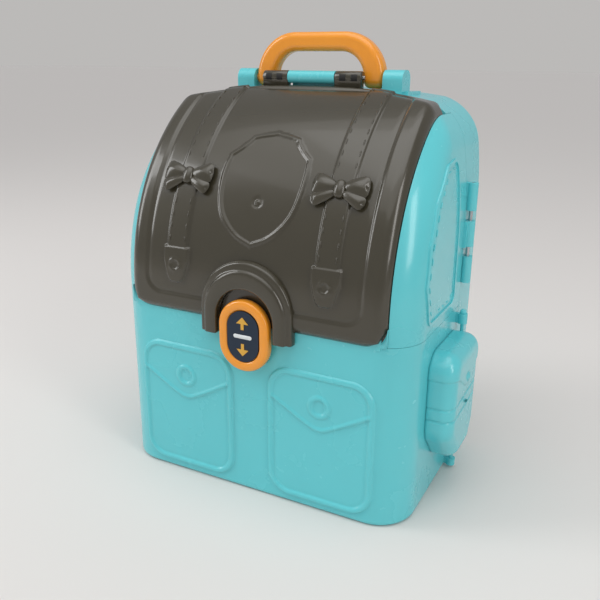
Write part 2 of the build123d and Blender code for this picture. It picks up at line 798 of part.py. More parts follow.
with BuildPart() as latch_slide:
    block(-slide_half_width, slide_half_width, slide_front_y, slide_front_y + slide_thickness,
          slide_bottom, slide_top)
    for side in (-1, 1):
        x0, x1 = pair(slide_half_width, slide_half_width + spring_seat_width, side)
        block(x0, x1, slide_front_y, slide_front_y + spring_seat_width, slide_top - 3, slide_top)
latch_slide.part.label = "latch_slide"
export_step(latch_slide.part, "parts/latch_slide.step")

spring_x = slide_half_width + spring_seat_width / 2
spring_y = slide_front_y + spring_seat_width / 2
cover_floor = slide_bottom - latch_travel - cover_room
for side, name in ((-1, "left_latch_spring"), (1, "right_latch_spring")):
    with BuildPart() as latch_spring:
        bar_z(side * spring_x, spring_y, cover_floor + wall + rod_clearance,
              slide_top - 3 - rod_clearance, spring_radius)
        bar_z(side * spring_x, spring_y, cover_floor, slide_top, spring_radius - spring_wire,
              mode=Mode.SUBTRACT)
    latch_spring.part.label = name
    export_step(latch_spring.part, "parts/" + name + ".step")

with BuildPart() as latch_cover:
    cover_x = slide_half_width + spring_seat_width + seat_gap
    cover_top = worktop_bottom - seat_gap
    cover_back = slide_front_y + spring_seat_width + seat_gap
    block(-cover_x - wall, cover_x + wall, front_y + wall, cover_back + wall, cover_floor, cover_top)
    block(-cover_x, cover_x, front_y, cover_back, cover_floor + wall, through, mode=Mode.SUBTRACT)
    for x in (-cover_x - wall - screw_head_radius - 1, cover_x + wall + screw_head_radius + 1):
        block(min(x - screw_head_radius - 1, x + screw_head_radius + 1),
              max(x - screw_head_radius - 1, x + screw_head_radius + 1),
              front_y + wall, front_y + 2 * wall, cover_floor + 8, cover_floor + 18)
latch_cover.part.label = "latch_cover"
export_step(latch_cover.part, "parts/latch_cover.step")

with BuildPart() as latch_backplate:
    with BuildSketch(Plane.XZ.offset(-front_y)):
        plate_half = notch_half_width - parting_gap
        with Locations((0, notch_top_centre)):
            Circle(plate_half)
        with Locations((0, (notch_top_centre + split_height) / 2)):
            Rectangle(2 * plate_half, notch_top_centre - split_height)
        with Locations((0, split_height - plate_half)):
            Rectangle(2 * plate_half, 2 * plate_half, mode=Mode.SUBTRACT)
    extrude(amount=latch_back_gap - parting_gap)
latch_backplate.part.label = "latch_backplate"
export_step(latch_backplate.part, "parts/latch_backplate.step")

# Side pods, hollow boxes on vertical pins that swing out from the lower case
pod_face_x = half_width + pod_wall_gap
pod_outer_x = half_width + pod_reach
pod_front_y = front_y + pod_front_from_front
pod_rear_y = front_y + pod_rear_from_front


def pod_form(inset, edge_radius):
    """One pod as a solid, drawn in by inset all round but for its open face."""
    low, high = pod_bottom + inset, pod_top - inset
    near, far = pod_front_y + inset, pod_rear_y - inset
    with BuildPart() as form:
        with BuildSketch(Plane.YZ.offset(pod_face_x)):
            Polygon((far, low + pod_rear_rise), (far, high), (near, high), (near, low + pod_front_rise),
                    (near + pod_front_run, low), (far - pod_rear_run, low), align=None)
            fillet(vertices().group_by(Axis.Y)[-1], pod_corner_radius - inset)
            fillet(vertices().group_by(Axis.Y)[0], pod_low_radius - inset)
        extrude(amount=pod_outer_x - inset - pod_face_x)
        fillet(form.faces().sort_by(Axis.X)[-1].edges(), edge_radius)
    return form.part


with BuildPart() as right_pod:
    add(pod_form(0, pod_edge_radius))
    with BuildSketch(Plane.XY.offset(pod_bottom)):
        with Locations(((pod_face_x + pod_axis_x) / 2, pod_axis_y + pod_barrel_radius)):
            Rectangle(pod_axis_x - pod_face_x, 2 * pod_barrel_radius)
    extrude(amount=pod_top - pod_bottom, mode=Mode.SUBTRACT)
    bar_z(pod_axis_x, pod_axis_y, pod_barrel_bottom, pod_top - pod_corner_radius, pod_barrel_radius)
    with BuildPart(mode=Mode.PRIVATE) as pod_room:
        add(pod_form(pod_wall, pod_edge_radius - pod_wall))
        block(0, through, pod_axis_y - pod_barrel_radius - pod_wall, through, 0, through,
              mode=Mode.SUBTRACT)
    add(pod_room.part, mode=Mode.SUBTRACT)
    bar_z(pod_axis_x, pod_axis_y, 0, split_height, pin_bore, mode=Mode.SUBTRACT)
right_pod.part.label = "right_pod"
export_step(right_pod.part, "parts/right_pod.step")
with BuildPart() as left_pod:
    mirror(right_pod.part, about=Plane.YZ)
left_pod.part.label = "left_pod"
export_step(left_pod.part, "parts/left_pod.step")

with BuildPart() as right_pod_pin:
    bar_z(pod_axis_x, pod_axis_y, lug_low[0], lug_high[1] + 1, pin_radius)
    with Locations((pod_axis_x, pod_axis_y, lug_high[1] + 1)):
        Sphere(bead_radius)
    block(pod_axis_x - 5, pod_axis_x + 5, pod_axis_y - 5, pod_axis_y + 5, lug_high[1] - 5,
          lug_high[1], mode=Mode.SUBTRACT)
    bar_z(pod_axis_x, pod_axis_y, lug_high[1] - 6, lug_high[1] + 1, pin_radius)
right_pod_pin.part.label = "right_pod_pin"
export_step(right_pod_pin.part, "parts/right_pod_pin.step")
with BuildPart() as left_pod_pin:
    mirror(right_pod_pin.part, about=Plane.YZ)
left_pod_pin.part.label = "left_pod_pin"
export_step(left_pod_pin.part, "parts/left_pod_pin.step")

# Worktop, a plate in the shape of the case's inside, resting on the four posts
knob_spots = [(hob_x - knob_offset, knob_y), (hob_x + knob_offset, knob_y)]
with BuildPart() as worktop:
    add(case_form(wall + seat_gap))
    block(-through, through, -through, through, -1, worktop_bottom, mode=Mode.SUBTRACT)
    block(-through, through, -through, through, worktop_top, through, mode=Mode.SUBTRACT)
    with BuildSketch(Plane.XY.offset(worktop_bottom)):
        with Locations((sink_x, sink_y)):
            RectangleRounded(sink_width, sink_length, sink_corner)
        with Locations(*knob_spots):
            Circle(knob_shaft_radius + rod_clearance)
    extrude(amount=worktop_thickness, mode=Mode.SUBTRACT)
worktop.part.label = "worktop"
export_step(worktop.part, "parts/worktop.step")

# Hob plate with two burner rings
hob_top = worktop_top + hob_thickness
with BuildPart() as hob_plate:
    with BuildSketch(Plane.XY.offset(worktop_top)):
        with Locations((hob_x, hob_y)):
            RectangleRounded(hob_width, hob_depth, hob_corner)
    extrude(amount=hob_thickness)
hob_plate.part.label = "hob_plate"
export_step(hob_plate.part, "parts/hob_plate.step")
burner_top = hob_top + burner_height
for side, name in ((-1, "left_burner"), (1, "right_burner")):
    with BuildPart() as burner:
        x = hob_x + side * burner_offset
        bar_z(x, hob_y, hob_top, burner_top, burner_radius)
        for ring in burner_rings:
            with BuildSketch(Plane.XY.offset(burner_top - burner_height / 2)):
                with Locations((x, hob_y)):
                    Circle(burner_radius * ring + burner_groove / 2)
                    Circle(burner_radius * ring - burner_groove / 2, mode=Mode.SUBTRACT)
            extrude(amount=burner_height, mode=Mode.SUBTRACT)
    burner.part.label = name
    export_step(burner.part, "parts/" + name + ".step")

# Pans that stand on the burners
pan_floor = burner_top + seat_gap
for name, side, depth in (("saucepan", -1, saucepan_depth), ("frying_pan", 1, frying_pan_depth)):
    with BuildPart() as pan:
        x = hob_x + side * burner_offset
        rim = pan_floor + depth
        bar_z(x, hob_y, pan_floor, rim, pan_radius)
        near = hob_y - pan_radius
        block(x - grip_width / 2, x + grip_width / 2, near - grip_length, hob_y,
              rim - 2 - pan_grip_thickness, rim - 2)
        fillet(pan.edges().filter_by(Axis.Z).group_by(Axis.Y)[0], grip_width / 2 - 0.1)
        bar_z(x, hob_y, pan_floor + pan_wall, rim + 1, pan_radius - pan_wall, mode=Mode.SUBTRACT)
    pan.part.label = name
    export_step(pan.part, "parts/" + name + ".step")
saucepan_x = hob_x - burner_offset
lid_bottom = pan_floor + saucepan_depth + seat_gap
with BuildPart() as saucepan_lid:
    bar_z(saucepan_x, hob_y, lid_bottom, lid_bottom + lid_thickness, pan_radius)
    bar_z(saucepan_x, hob_y, lid_bottom + lid_thickness, lid_bottom + lid_knob_height,
          lid_knob_radius * 0.6)
    bar_z(saucepan_x, hob_y, lid_bottom + lid_knob_height / 2 + 1, lid_bottom + lid_knob_height,
          lid_knob_radius)
    fillet(saucepan_lid.faces().sort_by(Axis.Z)[-1].edges(), knob_edge_radius)
saucepan_lid.part.label = "saucepan_lid"
export_step(saucepan_lid.part, "parts/saucepan_lid.step")

# Control knobs with their shafts through the worktop
for (x, y), name in zip(knob_spots, ("left_knob", "right_knob")):
    with BuildPart() as knob:
        foot = worktop_top + seat_gap
        bar_z(x, y, foot, foot + knob_height, knob_radius)
        fillet(knob.faces().sort_by(Axis.Z)[-1].edges(), knob_edge_radius)
        rib_reach = knob_radius - knob_edge_radius
        block(x - knob_rib_half_width, x + knob_rib_half_width, y - rib_reach, y + rib_reach,
              foot + knob_height - 1, foot + knob_height + knob_rib_height)
        bar_z(x, y, foot - knob_shaft_length, foot + 1, knob_shaft_radius)
    knob.part.label = name
    export_step(knob.part, "parts/" + name + ".step")

# Sink bowl hanging in the worktop by its rim
with BuildPart() as sink_bowl:
    with BuildSketch(Plane.XY.offset(worktop_top)):
        with Locations((sink_x, sink_y)):
            RectangleRounded(sink_width + 2 * sink_rim, sink_length + 2 * sink_rim,
                             sink_corner + sink_rim)
    extrude(amount=sink_wall)
    with BuildSketch(Plane.XY.offset(worktop_top + sink_wall - sink_depth)):
        with Locations((sink_x, sink_y)):
            RectangleRounded(sink_width - 2 * seat_gap, sink_length - 2 * seat_gap,
                             sink_corner - seat_gap)
    extrude(amount=sink_depth)
    with BuildSketch(Plane.XY.offset(worktop_top + 2 * sink_wall - sink_depth)):
        with Locations((sink_x, sink_y)):
            RectangleRounded(sink_width - 2 * seat_gap - 2 * sink_wall,
                             sink_length - 2 * seat_gap - 2 * sink_wall,
                             sink_corner - seat_gap - sink_wall)
    extrude(amount=sink_depth, mode=Mode.SUBTRACT)
    bar_z(sink_x, sink_y, 0, worktop_top, drain_radius, mode=Mode.SUBTRACT)
sink_bowl.part.label = "sink_bowl"
export_step(sink_bowl.part, "parts/sink_bowl.step")

# Tap: a fixed base with a pin, and a spout that swivels on it
tap_foot = worktop_top
spout_foot = tap_foot + tap_base_height + seat_gap
with BuildPart() as tap_base:
    bar_z(sink_x, tap_y, tap_foot, tap_foot + tap_base_height, tap_base_radius)
    bar_z(sink_x, tap_y, tap_foot, spout_foot + tap_pin_length, tap_bore_radius)
tap_base.part.label = "tap_base"
export_step(tap_base.part, "parts/tap_base.step")
with BuildPart() as tap_spout:
    spout_z = tap_foot + tap_height
    bar_z(sink_x, tap_y, spout_foot, spout_z, tap_stem_radius)
    with Locations((sink_x, tap_y, spout_z)):
        Sphere(tap_stem_radius)
    bar_y(sink_x, tap_y - tap_reach, tap_y, spout_z, tap_tube_radius)
    with Locations((sink_x, tap_y - tap_reach, spout_z)):
        Sphere(tap_tube_radius)
    bar_z(sink_x, tap_y - tap_reach, spout_z - nozzle_length, spout_z, tap_tube_radius)
    bar_z(sink_x, tap_y, spout_foot - 1, spout_foot + tap_pin_length + seat_gap,
          tap_bore_radius + rod_clearance, mode=Mode.SUBTRACT)
tap_spout.part.label = "tap_spout"
export_step(tap_spout.part, "parts/tap_spout.step")

# Back board with its shelf and the pegs, on four spacers against the rear wall
board_back = back_y - wall - board_gap
board_front = board_back - board_thickness
with BuildPart() as back_board:
    block(-board_half_width, board_half_width, board_front, board_back, board_bottom, board_top)
    for x in (board_post_inset - board_half_width, board_half_width - board_post_inset):
        for z in (board_bottom + board_post_inset, board_top - board_post_inset):
            bar_y(x, board_back, back_y - wall, z, board_post_radius)
    block(-board_half_width, shelf_end, board_front - shelf_depth, board_front,
          shelf_height - wall, shelf_height)
    block(-board_half_width, shelf_end, board_front - shelf_depth, board_front - shelf_depth + wall,
          shelf_height - wall, shelf_height + shelf_lip)
    for column in range(3):
        x = tool_first_x + column * tool_spacing
        bar_y(x, board_front - peg_length, board_front, peg_height, peg_radius)
back_board.part.label = "back_board"
export_step(back_board.part, "parts/back_board.step")


tool_back = board_front - tool_from_board
tool_x = [tool_first_x + column * tool_spacing for column in range(3)]
tool_plane = Plane.XZ.offset(-tool_back)


def tool_strip(x, foot):
    """A utensil's flat handle with the eye that hangs on its peg, for the current sketch."""
    with Locations((x, (tool_top + foot) / 2)):
        Rectangle(tool_handle_width, tool_top - foot)
    with Locations((x, peg_height)):
        Circle(tool_handle_width / 2 + 2)
    with Locations((x, peg_height + peg_clearance)):
        Circle(peg_radius + 2 * peg_clearance, mode=Mode.SUBTRACT)


with BuildPart() as ladle:
    bowl_z = tool_bottom + ladle_radius
    with Locations((tool_x[0], tool_back - ladle_radius, bowl_z)):
        Sphere(ladle_radius)
        Sphere(ladle_radius - pan_wall, mode=Mode.SUBTRACT)
    block(tool_x[0] - ladle_radius, tool_x[0] + ladle_radius, -through, tool_back, bowl_z,
          bowl_z + ladle_radius, mode=Mode.SUBTRACT)
    with BuildSketch(tool_plane):
        tool_strip(tool_x[0], bowl_z - 3)
    extrude(amount=tool_thickness)
ladle.part.label = "ladle"
export_step(ladle.part, "parts/ladle.step")

with BuildPart() as fork:
    with BuildSketch(tool_plane):
        tool_strip(tool_x[1], tool_bottom)
        with Locations((tool_x[1], tool_bottom + prong_length)):
            RectangleRounded(2 * prong_spacing + prong_width, prong_width * 3, prong_width)
        with Locations((tool_x[1], tool_bottom + prong_length / 2)):
            with GridLocations(2 * prong_spacing, 1, 2, 1):
                Rectangle(prong_width, prong_length)
    extrude(amount=tool_thickness)
fork.part.label = "fork"
export_step(fork.part, "parts/fork.step")

with BuildPart() as spatula:
    with BuildSketch(tool_plane):
        tool_strip(tool_x[2], tool_bottom + blade_length / 2)
        with Locations((tool_x[2], tool_bottom + blade_length / 2)):
            RectangleRounded(blade_width, blade_length, blade_slot_width * 2)
            with GridLocations(2.5 * blade_slot_width, 1, 3, 1):
                SlotOverall(blade_length * 0.6, blade_slot_width, rotation=90, mode=Mode.SUBTRACT)
    extrude(amount=tool_thickness)
spatula.part.label = "spatula"
export_step(spatula.part, "parts/spatula.step")

# Cups on the shelf
for number, name in enumerate(("left_cup", "right_cup")):
    with BuildPart() as cup:
        x = cup_first_x + number * cup_spacing
        y = board_front - shelf_depth / 2
        foot = shelf_height + seat_gap
        bar_z(x, y, foot, foot + cup_height, cup_radius - 1)
        with Locations(Location((x + cup_radius - 1, y, foot + cup_height / 2), (90, 0, 0))):
            Torus(cup_ear_radius - 1, 1.5)
        bar_z(x, y, foot + cup_wall, foot + cup_height + 1, cup_radius - 1 - cup_wall,
              mode=Mode.SUBTRACT)
    cup.part.label = name
    export_step(cup.part, "parts/" + name + ".step")

# Plates on edge in a grooved stand at the back of the worktop
plate_y = [plate_first_y + number * plate_spacing for number in range(2)]
plate_centre_z = worktop_top + stand_height - stand_groove_depth + plate_radius + seat_gap
with BuildPart() as plate_stand:
    block(plate_x - stand_half_width, plate_x + stand_half_width, plate_y[0] - plate_spacing / 2 - 1,
          plate_y[1] + plate_spacing / 2 + 1, worktop_top, worktop_top + stand_height)
    for y in plate_y:
        bar_y(plate_x, y - plate_thickness / 2 - seat_gap, y + plate_thickness / 2 + seat_gap,
              plate_centre_z, plate_radius + seat_gap, mode=Mode.SUBTRACT)
plate_stand.part.label = "plate_stand"
export_step(plate_stand.part, "parts/plate_stand.step")
for y, name in zip(plate_y, ("front_plate", "back_plate")):
    with BuildPart() as plate:
        bar_y(plate_x, y - plate_thickness / 2, y + plate_thickness / 2, plate_centre_z, plate_radius)
        bar_y(plate_x, y - plate_thickness / 2 - 1, y - plate_thickness / 2 + 1.4, plate_centre_z,
              plate_radius * 0.75, mode=Mode.SUBTRACT)
    plate.part.label = name
    export_step(plate.part, "parts/" + name + ".step")

# Trays on the inner faces of the side doors
with BuildPart() as right_door_tray:
    wall_x = half_width - wall
    block(wall_x - tray_reach, wall_x, tray_front_y, tray_front_y + tray_length, tray_bottom,
          tray_bottom + tray_height)
    block(wall_x - tray_reach + tray_wall, wall_x - tray_wall, tray_front_y + tray_wall,
          tray_front_y + tray_length - tray_wall, tray_bottom + tray_wall, through,
          mode=Mode.SUBTRACT)
right_door_tray.part.label = "right_door_tray"
export_step(right_door_tray.part, "parts/right_door_tray.step")
with BuildPart() as left_door_tray:
    mirror(right_door_tray.part, about=Plane.YZ)
left_door_tray.part.label = "left_door_tray"
export_step(left_door_tray.part, "parts/left_door_tray.step")
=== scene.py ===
import math

import bpy
import numpy as np
from mathutils import Matrix, Vector


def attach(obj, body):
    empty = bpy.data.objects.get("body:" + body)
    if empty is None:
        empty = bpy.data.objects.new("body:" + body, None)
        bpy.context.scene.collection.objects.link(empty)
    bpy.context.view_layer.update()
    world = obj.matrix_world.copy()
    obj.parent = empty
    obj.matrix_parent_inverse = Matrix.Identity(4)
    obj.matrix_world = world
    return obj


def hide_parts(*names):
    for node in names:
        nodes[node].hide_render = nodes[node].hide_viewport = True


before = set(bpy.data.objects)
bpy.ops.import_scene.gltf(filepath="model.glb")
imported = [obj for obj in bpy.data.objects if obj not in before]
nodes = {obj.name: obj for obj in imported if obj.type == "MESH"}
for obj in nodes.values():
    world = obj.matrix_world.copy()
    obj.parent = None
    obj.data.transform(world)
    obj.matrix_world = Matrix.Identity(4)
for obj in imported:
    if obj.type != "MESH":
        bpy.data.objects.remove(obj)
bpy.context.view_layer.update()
mm = 0.001

# Cyan shell of the case: back half, lower front and the two side doors, injection moulded
# in glossy polypropylene. The tool leaves a faint ripple and a few dull handling marks.


def to_linear(red, green, blue):
    """A display colour of 0 to 255 as the linear values that a shader takes."""
    share = np.array([red, green, blue]) / 255
    straight = np.where(share <= 0.04045, share / 12.92, ((share + 0.055) / 1.055) ** 2.4)
    return (*straight.tolist(), 1.0)


def moulded_surface_group():
    """Colour, roughness and normal of moulded plastic: ripple, cloudy tone, fine scuffs and dust."""
    group = bpy.data.node_groups.new("moulded surface", "ShaderNodeTree")
    for title, kind, start in (("Colour", "NodeSocketColor", (0.5, 0.5, 0.5, 1)),
                               ("Roughness", "NodeSocketFloat", 0.25),
                               ("Ripple", "NodeSocketFloat", 0.1),
                               ("Scuffs", "NodeSocketFloat", 0.1)):
        socket = group.interface.new_socket(title, in_out="INPUT", socket_type=kind)
        socket.default_value = start
    for title, kind in (("Colour", "NodeSocketColor"), ("Roughness", "NodeSocketFloat"),
                        ("Normal", "NodeSocketVector")):
        group.interface.new_socket(title, in_out="OUTPUT", socket_type=kind)
    make, join = group.nodes.new, group.links.new
    entry, out = make("NodeGroupInput"), make("NodeGroupOutput")
    place = make("ShaderNodeTexCoord")

    def noise(scale, detail):
        texture = make("ShaderNodeTexNoise")
        texture.inputs["Scale"].default_value = scale
        texture.inputs["Detail"].default_value = detail
        join(place.outputs["Object"], texture.inputs["Vector"])
        return texture.outputs["Fac"]

    def spread(value, low, high, to_low, to_high):
        change = make("ShaderNodeMapRange")
        join(value, change.inputs["Value"])
        for title, number in (("From Min", low), ("From Max", high), ("To Min", to_low),
                              ("To Max", to_high)):
            change.inputs[title].default_value = number
        return change.outputs["Result"]

    def combine(operation, first, second):
        maths = make("ShaderNodeMath")
        maths.operation = operation
        for socket, value in zip(maths.inputs, (first, second)):
            if isinstance(value, (int, float)):
                socket.default_value = value
            else:
                join(value, socket)
        return maths.outputs[0]

    tone = make("ShaderNodeHueSaturation")
    join(entry.outputs["Colour"], tone.inputs["Color"])
    join(spread(noise(9, 3), 0.3, 0.7, 0.965, 1.03), tone.inputs["Value"])
    join(tone.outputs["Color"], out.inputs["Colour"])

    marks = spread(noise(160, 6), 0.6, 0.72, 0, 1)
    cloud = spread(noise(22, 4), 0.35, 0.7, 0, 1)
    dull = combine("MULTIPLY", combine("MULTIPLY", marks, cloud), entry.outputs["Scuffs"])
    haze = combine("MULTIPLY", cloud, 0.05)
    rough = combine("ADD", combine("ADD", entry.outputs["Roughness"], haze), dull)
    join(rough, out.inputs["Roughness"])

    wave = combine("MULTIPLY", noise(28, 1), entry.outputs["Ripple"])
    grain = combine("MULTIPLY", noise(900, 2), 0.004)
    height = combine("ADD", wave, grain)
    bump = make("ShaderNodeBump")
    bump.inputs["Strength"].default_value = 0.35
    bump.inputs["Distance"].default_value = 0.001
    join(height, bump.inputs["Height"])
    join(bump.outputs["Normal"], out.inputs["Normal"])
    return group


moulded_surface = moulded_surface_group()


def plastic(name, colour, roughness=0.24, ripple=0.5, scuffs=0.03, coat=0.35, glow=0.0):
    """A moulded plastic: the shared surface group into one Principled shader."""
    material = bpy.data.materials.new(name)
    material.use_nodes = True
    tree = material.node_tree
    shader = tree.nodes["Principled BSDF"]
    surface = tree.nodes.new("ShaderNodeGroup")
    surface.node_tree = moulded_surface
    surface.inputs["Colour"].default_value = to_linear(*colour)
    surface.inputs["Roughness"].default_value = roughness
    surface.inputs["Ripple"].default_value = ripple
    surface.inputs["Scuffs"].default_value = scuffs
    tree.links.new(surface.outputs["Colour"], shader.inputs["Base Color"])
    tree.links.new(surface.outputs["Roughness"], shader.inputs["Roughness"])
    tree.links.new(surface.outputs["Normal"], shader.inputs["Normal"])
    shader.inputs["Coat Weight"].default_value = coat
    shader.inputs["Coat Roughness"].default_value = 0.08
    shader.inputs["Subsurface Weight"].default_value = glow
    shader.inputs["Subsurface Radius"].default_value = (0.6, 1.0, 1.0)
    shader.inputs["Subsurface Scale"].default_value = 0.002
    return material


def dress(material, *names):
    """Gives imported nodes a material."""
    for name in names:
        for place in nodes[name].material_slots:
            place.material = material


cyan = plastic("cyan case plastic", (96, 204, 212), roughness=0.24, glow=0.08)
dress(cyan, "back_shell", "lower_case", "right_door", "left_door", "back_board",
      "right_door_tray", "left_door_tray", "latch_cover", "right_pod_pin", "left_pod_pin")

# Raised pockets on the front of the lower case. Each has a soft rim, a pointed flap whose edge
# stands up a little, a ring-shaped button and the small mark that the mould's gate left.

half_case = 125 * mm
front_face = -79 * mm
front_corner = 30 * mm
pocket_inner, pocket_outer = 15 * mm, 102 * mm
pocket_low, pocket_high = 6.5 * mm, 114 * mm
pocket_corner = 19 * mm
pocket_rim = 5 * mm
flap_side, flap_tip = 90 * mm, 68 * mm
button_height = 87.5 * mm


def grid_faces(rows, columns, around=False):
    """Quads of a rows by columns grid of points, its last column joined to the first if around."""
    row = np.arange(rows - 1)[:, None] * columns
    column = np.arange(columns if around else columns - 1)[None, :]
    beside = (column + 1) % columns
    return np.stack([row + column, row + beside, row + columns + beside, row + columns + column],
                    axis=-1).reshape(-1, 4)


def add_piece(name, points, faces, material, body, inside=None):
    """A mesh in the row frame, its faces turned away from the inside point, riding on a body."""
    points = np.asarray(points, dtype=float).reshape(-1, 3)
    faces = [np.asarray(part) for part in (faces if isinstance(faces, list) else [faces])]
    centre = points.mean(axis=0) if inside is None else np.asarray(inside)
    volume = 0.0
    for part in faces:
        corners = points[part] - centre
        for step in range(1, part.shape[1] - 1):
            volume += np.einsum("ij,ij->", corners[:, 0],
                                np.cross(corners[:, step], corners[:, step + 1]))
    turned = [part[:, ::-1] if volume < 0 else part for part in faces]
    mesh = bpy.data.meshes.new(name)
    mesh.from_pydata(points.tolist(), [], [face for part in turned for face in part.tolist()])
    mesh.polygons.foreach_set("use_smooth", np.ones(len(mesh.polygons), dtype=bool))
    mesh.materials.append(material)
    mesh.update()
    piece = bpy.data.objects.new(name, mesh)
    bpy.context.scene.collection.objects.link(piece)
    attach(piece, body)
    return piece


def ease(value, low, high):
    """0 below low, 1 above high, and a smooth S between them."""
    share = np.clip((value - low) / (high - low), 0, 1)
    return share * share * (3 - 2 * share)


def ridge(distance, half_width, soft):
    """1 within half_width of a line and a smooth fall to 0 over soft beyond it."""
    return 1 - ease(np.abs(distance), half_width, half_width + soft)


def front_point(x, z, lift):
    """The front of the case: flat, then a quarter round at each side, raised by lift along its normal."""
    past = np.clip((np.abs(x) - (half_case - front_corner)) / front_corner, 0, 1)
    turn = np.arcsin(past)
    reach = front_corner + lift
    flat = past == 0
    across = np.where(flat, np.abs(x), half_case - front_corner + reach * np.sin(turn))
    depth = np.where(flat, front_face - lift, front_face + front_corner - reach * np.cos(turn))
    return np.stack([np.sign(x) * across, depth, z], axis=-1)


def rounded_inset(x, z, centre_x, centre_z, half_x, half_z, corner):
    """Distance inwards from the edge of a rounded rectangle, negative outside it."""
    over_x = np.abs(x - centre_x) - (half_x - corner)
    over_z = np.abs(z - centre_z) - (half_z - corner)
    outside = np.hypot(np.maximum(over_x, 0), np.maximum(over_z, 0))
    return corner - outside - np.minimum(np.maximum(over_x, over_z), 0)


def pocket_relief(x, z, middle):
    """How far the pocket stands out: rim, pointed flap with a raised edge, button ring and gate mark."""
    inset = rounded_inset(x, z, middle, (pocket_low + pocket_high) / 2,
                          (pocket_outer - pocket_inner) / 2, (pocket_high - pocket_low) / 2,
                          pocket_corner)
    rim = 1.6 * ridge(inset - pocket_rim * 0.55, 1.1 * mm, 1.9 * mm)
    panel = 0.28 * ease(inset, pocket_rim, pocket_rim + 3 * mm)
    half = (pocket_outer - pocket_inner) / 2
    share = np.clip(np.abs(x - middle) / half, 0, 1)
    blunt = 0.14
    rounded = (np.hypot(share, blunt) - blunt) / (math.hypot(1, blunt) - blunt)
    edge_height = flap_tip + (flap_side - flap_tip) * rounded
    above = (z - edge_height) * 0.86
    inner = ease(inset, pocket_rim * 0.6, pocket_rim)
    pouch = 0.45 * ease(above, -0.8 * mm, 1.0 * mm) * inner
    edge = 0.95 * ridge(above - 1.2 * mm, 0.7 * mm, 1.4 * mm) * inner
    from_button = np.hypot(x - middle, z - button_height)
    ring = 1.0 * ridge(from_button - 7.4 * mm, 1.0 * mm, 1.3 * mm)
    dish = -0.35 * (1 - ease(from_button, 4.4 * mm, 6 * mm))
    from_gate = np.hypot(x - middle - 1 * mm, z - 41 * mm)
    gate = 0.5 * (1 - ease(from_gate, 0.3 * mm, 1.1 * mm))
    rise = rim + panel + pouch + edge + ring + dish + gate
    shown = ease(inset, -0.6 * mm, 1.2 * mm)
    return mm * (shown * (rise + 0.12) - 0.5 * (1 - shown))


pocket_step = 0.75 * mm
for side, name in ((-1, "left_pocket"), (1, "right_pocket")):
    middle = side * (pocket_inner + pocket_outer) / 2
    reach = (pocket_outer - pocket_inner) / 2 + 0.8 * mm
    along = np.linspace(middle - reach, middle + reach, int(2 * reach / pocket_step))
    up = np.linspace(pocket_low - 0.8 * mm, pocket_high + 0.8 * mm,
                     int((pocket_high - pocket_low) / pocket_step))
    x, z = np.meshgrid(along, up)
    lift = pocket_relief(x, z, middle)
    top = front_point(x, z, lift)
    under = front_point(x, z, np.full_like(x, -1.2 * mm))
    rows, columns = x.shape
    count = rows * columns
    faces = grid_faces(rows, columns)
    rim = np.concatenate([np.arange(columns), np.arange(1, rows) * columns + columns - 1,
                          (rows - 1) * columns + np.arange(columns - 2, -1, -1),
                          np.arange(rows - 2, 0, -1) * columns])
    beside = np.roll(rim, -1)
    wall = np.stack([rim, rim + count, beside + count, beside], axis=-1)
    points = np.concatenate([top.reshape(-1, 3), under.reshape(-1, 3)])
    add_piece(name, points, np.concatenate([faces, faces[:, ::-1] + count, wall]), cyan, "case")

# Brown flap over the top and the upper front, one moulding of glossy polypropylene. Its border is a
# raised band. Straps with stitches, pointed tabs, rivets, a shield and two bows stand up from it.

brown = plastic("brown flap plastic", (60, 56, 43), roughness=0.22, ripple=0.6, scuffs=0.0, coat=0.45)
flap_half = 107 * mm
flap_bottom = 140 * mm
flap_front = -83 * mm
flap_rear = 23 * mm
flap_edge = 9 * mm
flap_skirt = 15 * mm
flap_fold = 5.2 * mm
crown_top = 308.2 * mm
crown_drop = 11 * mm
brow_start = 157 * mm
profile_arcs = ((165 * mm, 64), (40 * mm, 16), (600 * mm, 3))


def profile(s):
    """Side view of the flap at the distance s from its lower edge: a straight rise, then three arcs
    that turn back one after the other. Gives y, z and the angle of the heading from upright."""
    s = np.asarray(s, dtype=float)
    straight = brow_start - flap_bottom
    y = np.full_like(s, flap_front)
    z = flap_bottom + np.minimum(s, straight)
    heading = np.zeros_like(s)
    start, turned = straight, 0.0
    y0, z0 = flap_front, brow_start
    for radius, degrees in profile_arcs:
        sweep = math.radians(degrees)
        angle = turned + np.clip((s - start) / radius, 0, sweep)
        on_arc = s > start
        y = np.where(on_arc, y0 + radius * (math.cos(turned) - np.cos(angle)), y)
        z = np.where(on_arc, z0 + radius * (np.sin(angle) - math.sin(turned)), z)
        heading = np.where(on_arc, angle, heading)
        y0 += radius * (math.cos(turned) - math.cos(turned + sweep))
        z0 += radius * (math.sin(turned + sweep) - math.sin(turned))
        start += radius * sweep
        turned += sweep
    return y, z, heading


many = np.linspace(0, 300 * mm, 6001)
many_y, many_z, _ = profile(many)
flap_length = float(np.interp(flap_rear, many_y, many))


def at_height(z):
    """The distance along the flap's side view at which it is z high."""
    return np.interp(z, many_z, many)


def flap_point(x, s, lift):
    """A point of the flap at x across and s along, raised by lift along the side view's normal. The
    crown's arc caps the height towards the rear corners."""
    y, z, heading = profile(s)
    z = z + lift * np.sin(heading)
    y = y - lift * np.cos(heading)
    crown = crown_top - crown_drop * (x / flap_half) ** 2 + lift
    cap = 1.5 * mm
    low = np.minimum(z, crown)
    blend = np.maximum(cap - np.abs(z - crown), 0) ** 2 / (4 * cap)
    return np.stack([x + 0 * y, y, low - blend], axis=-1)


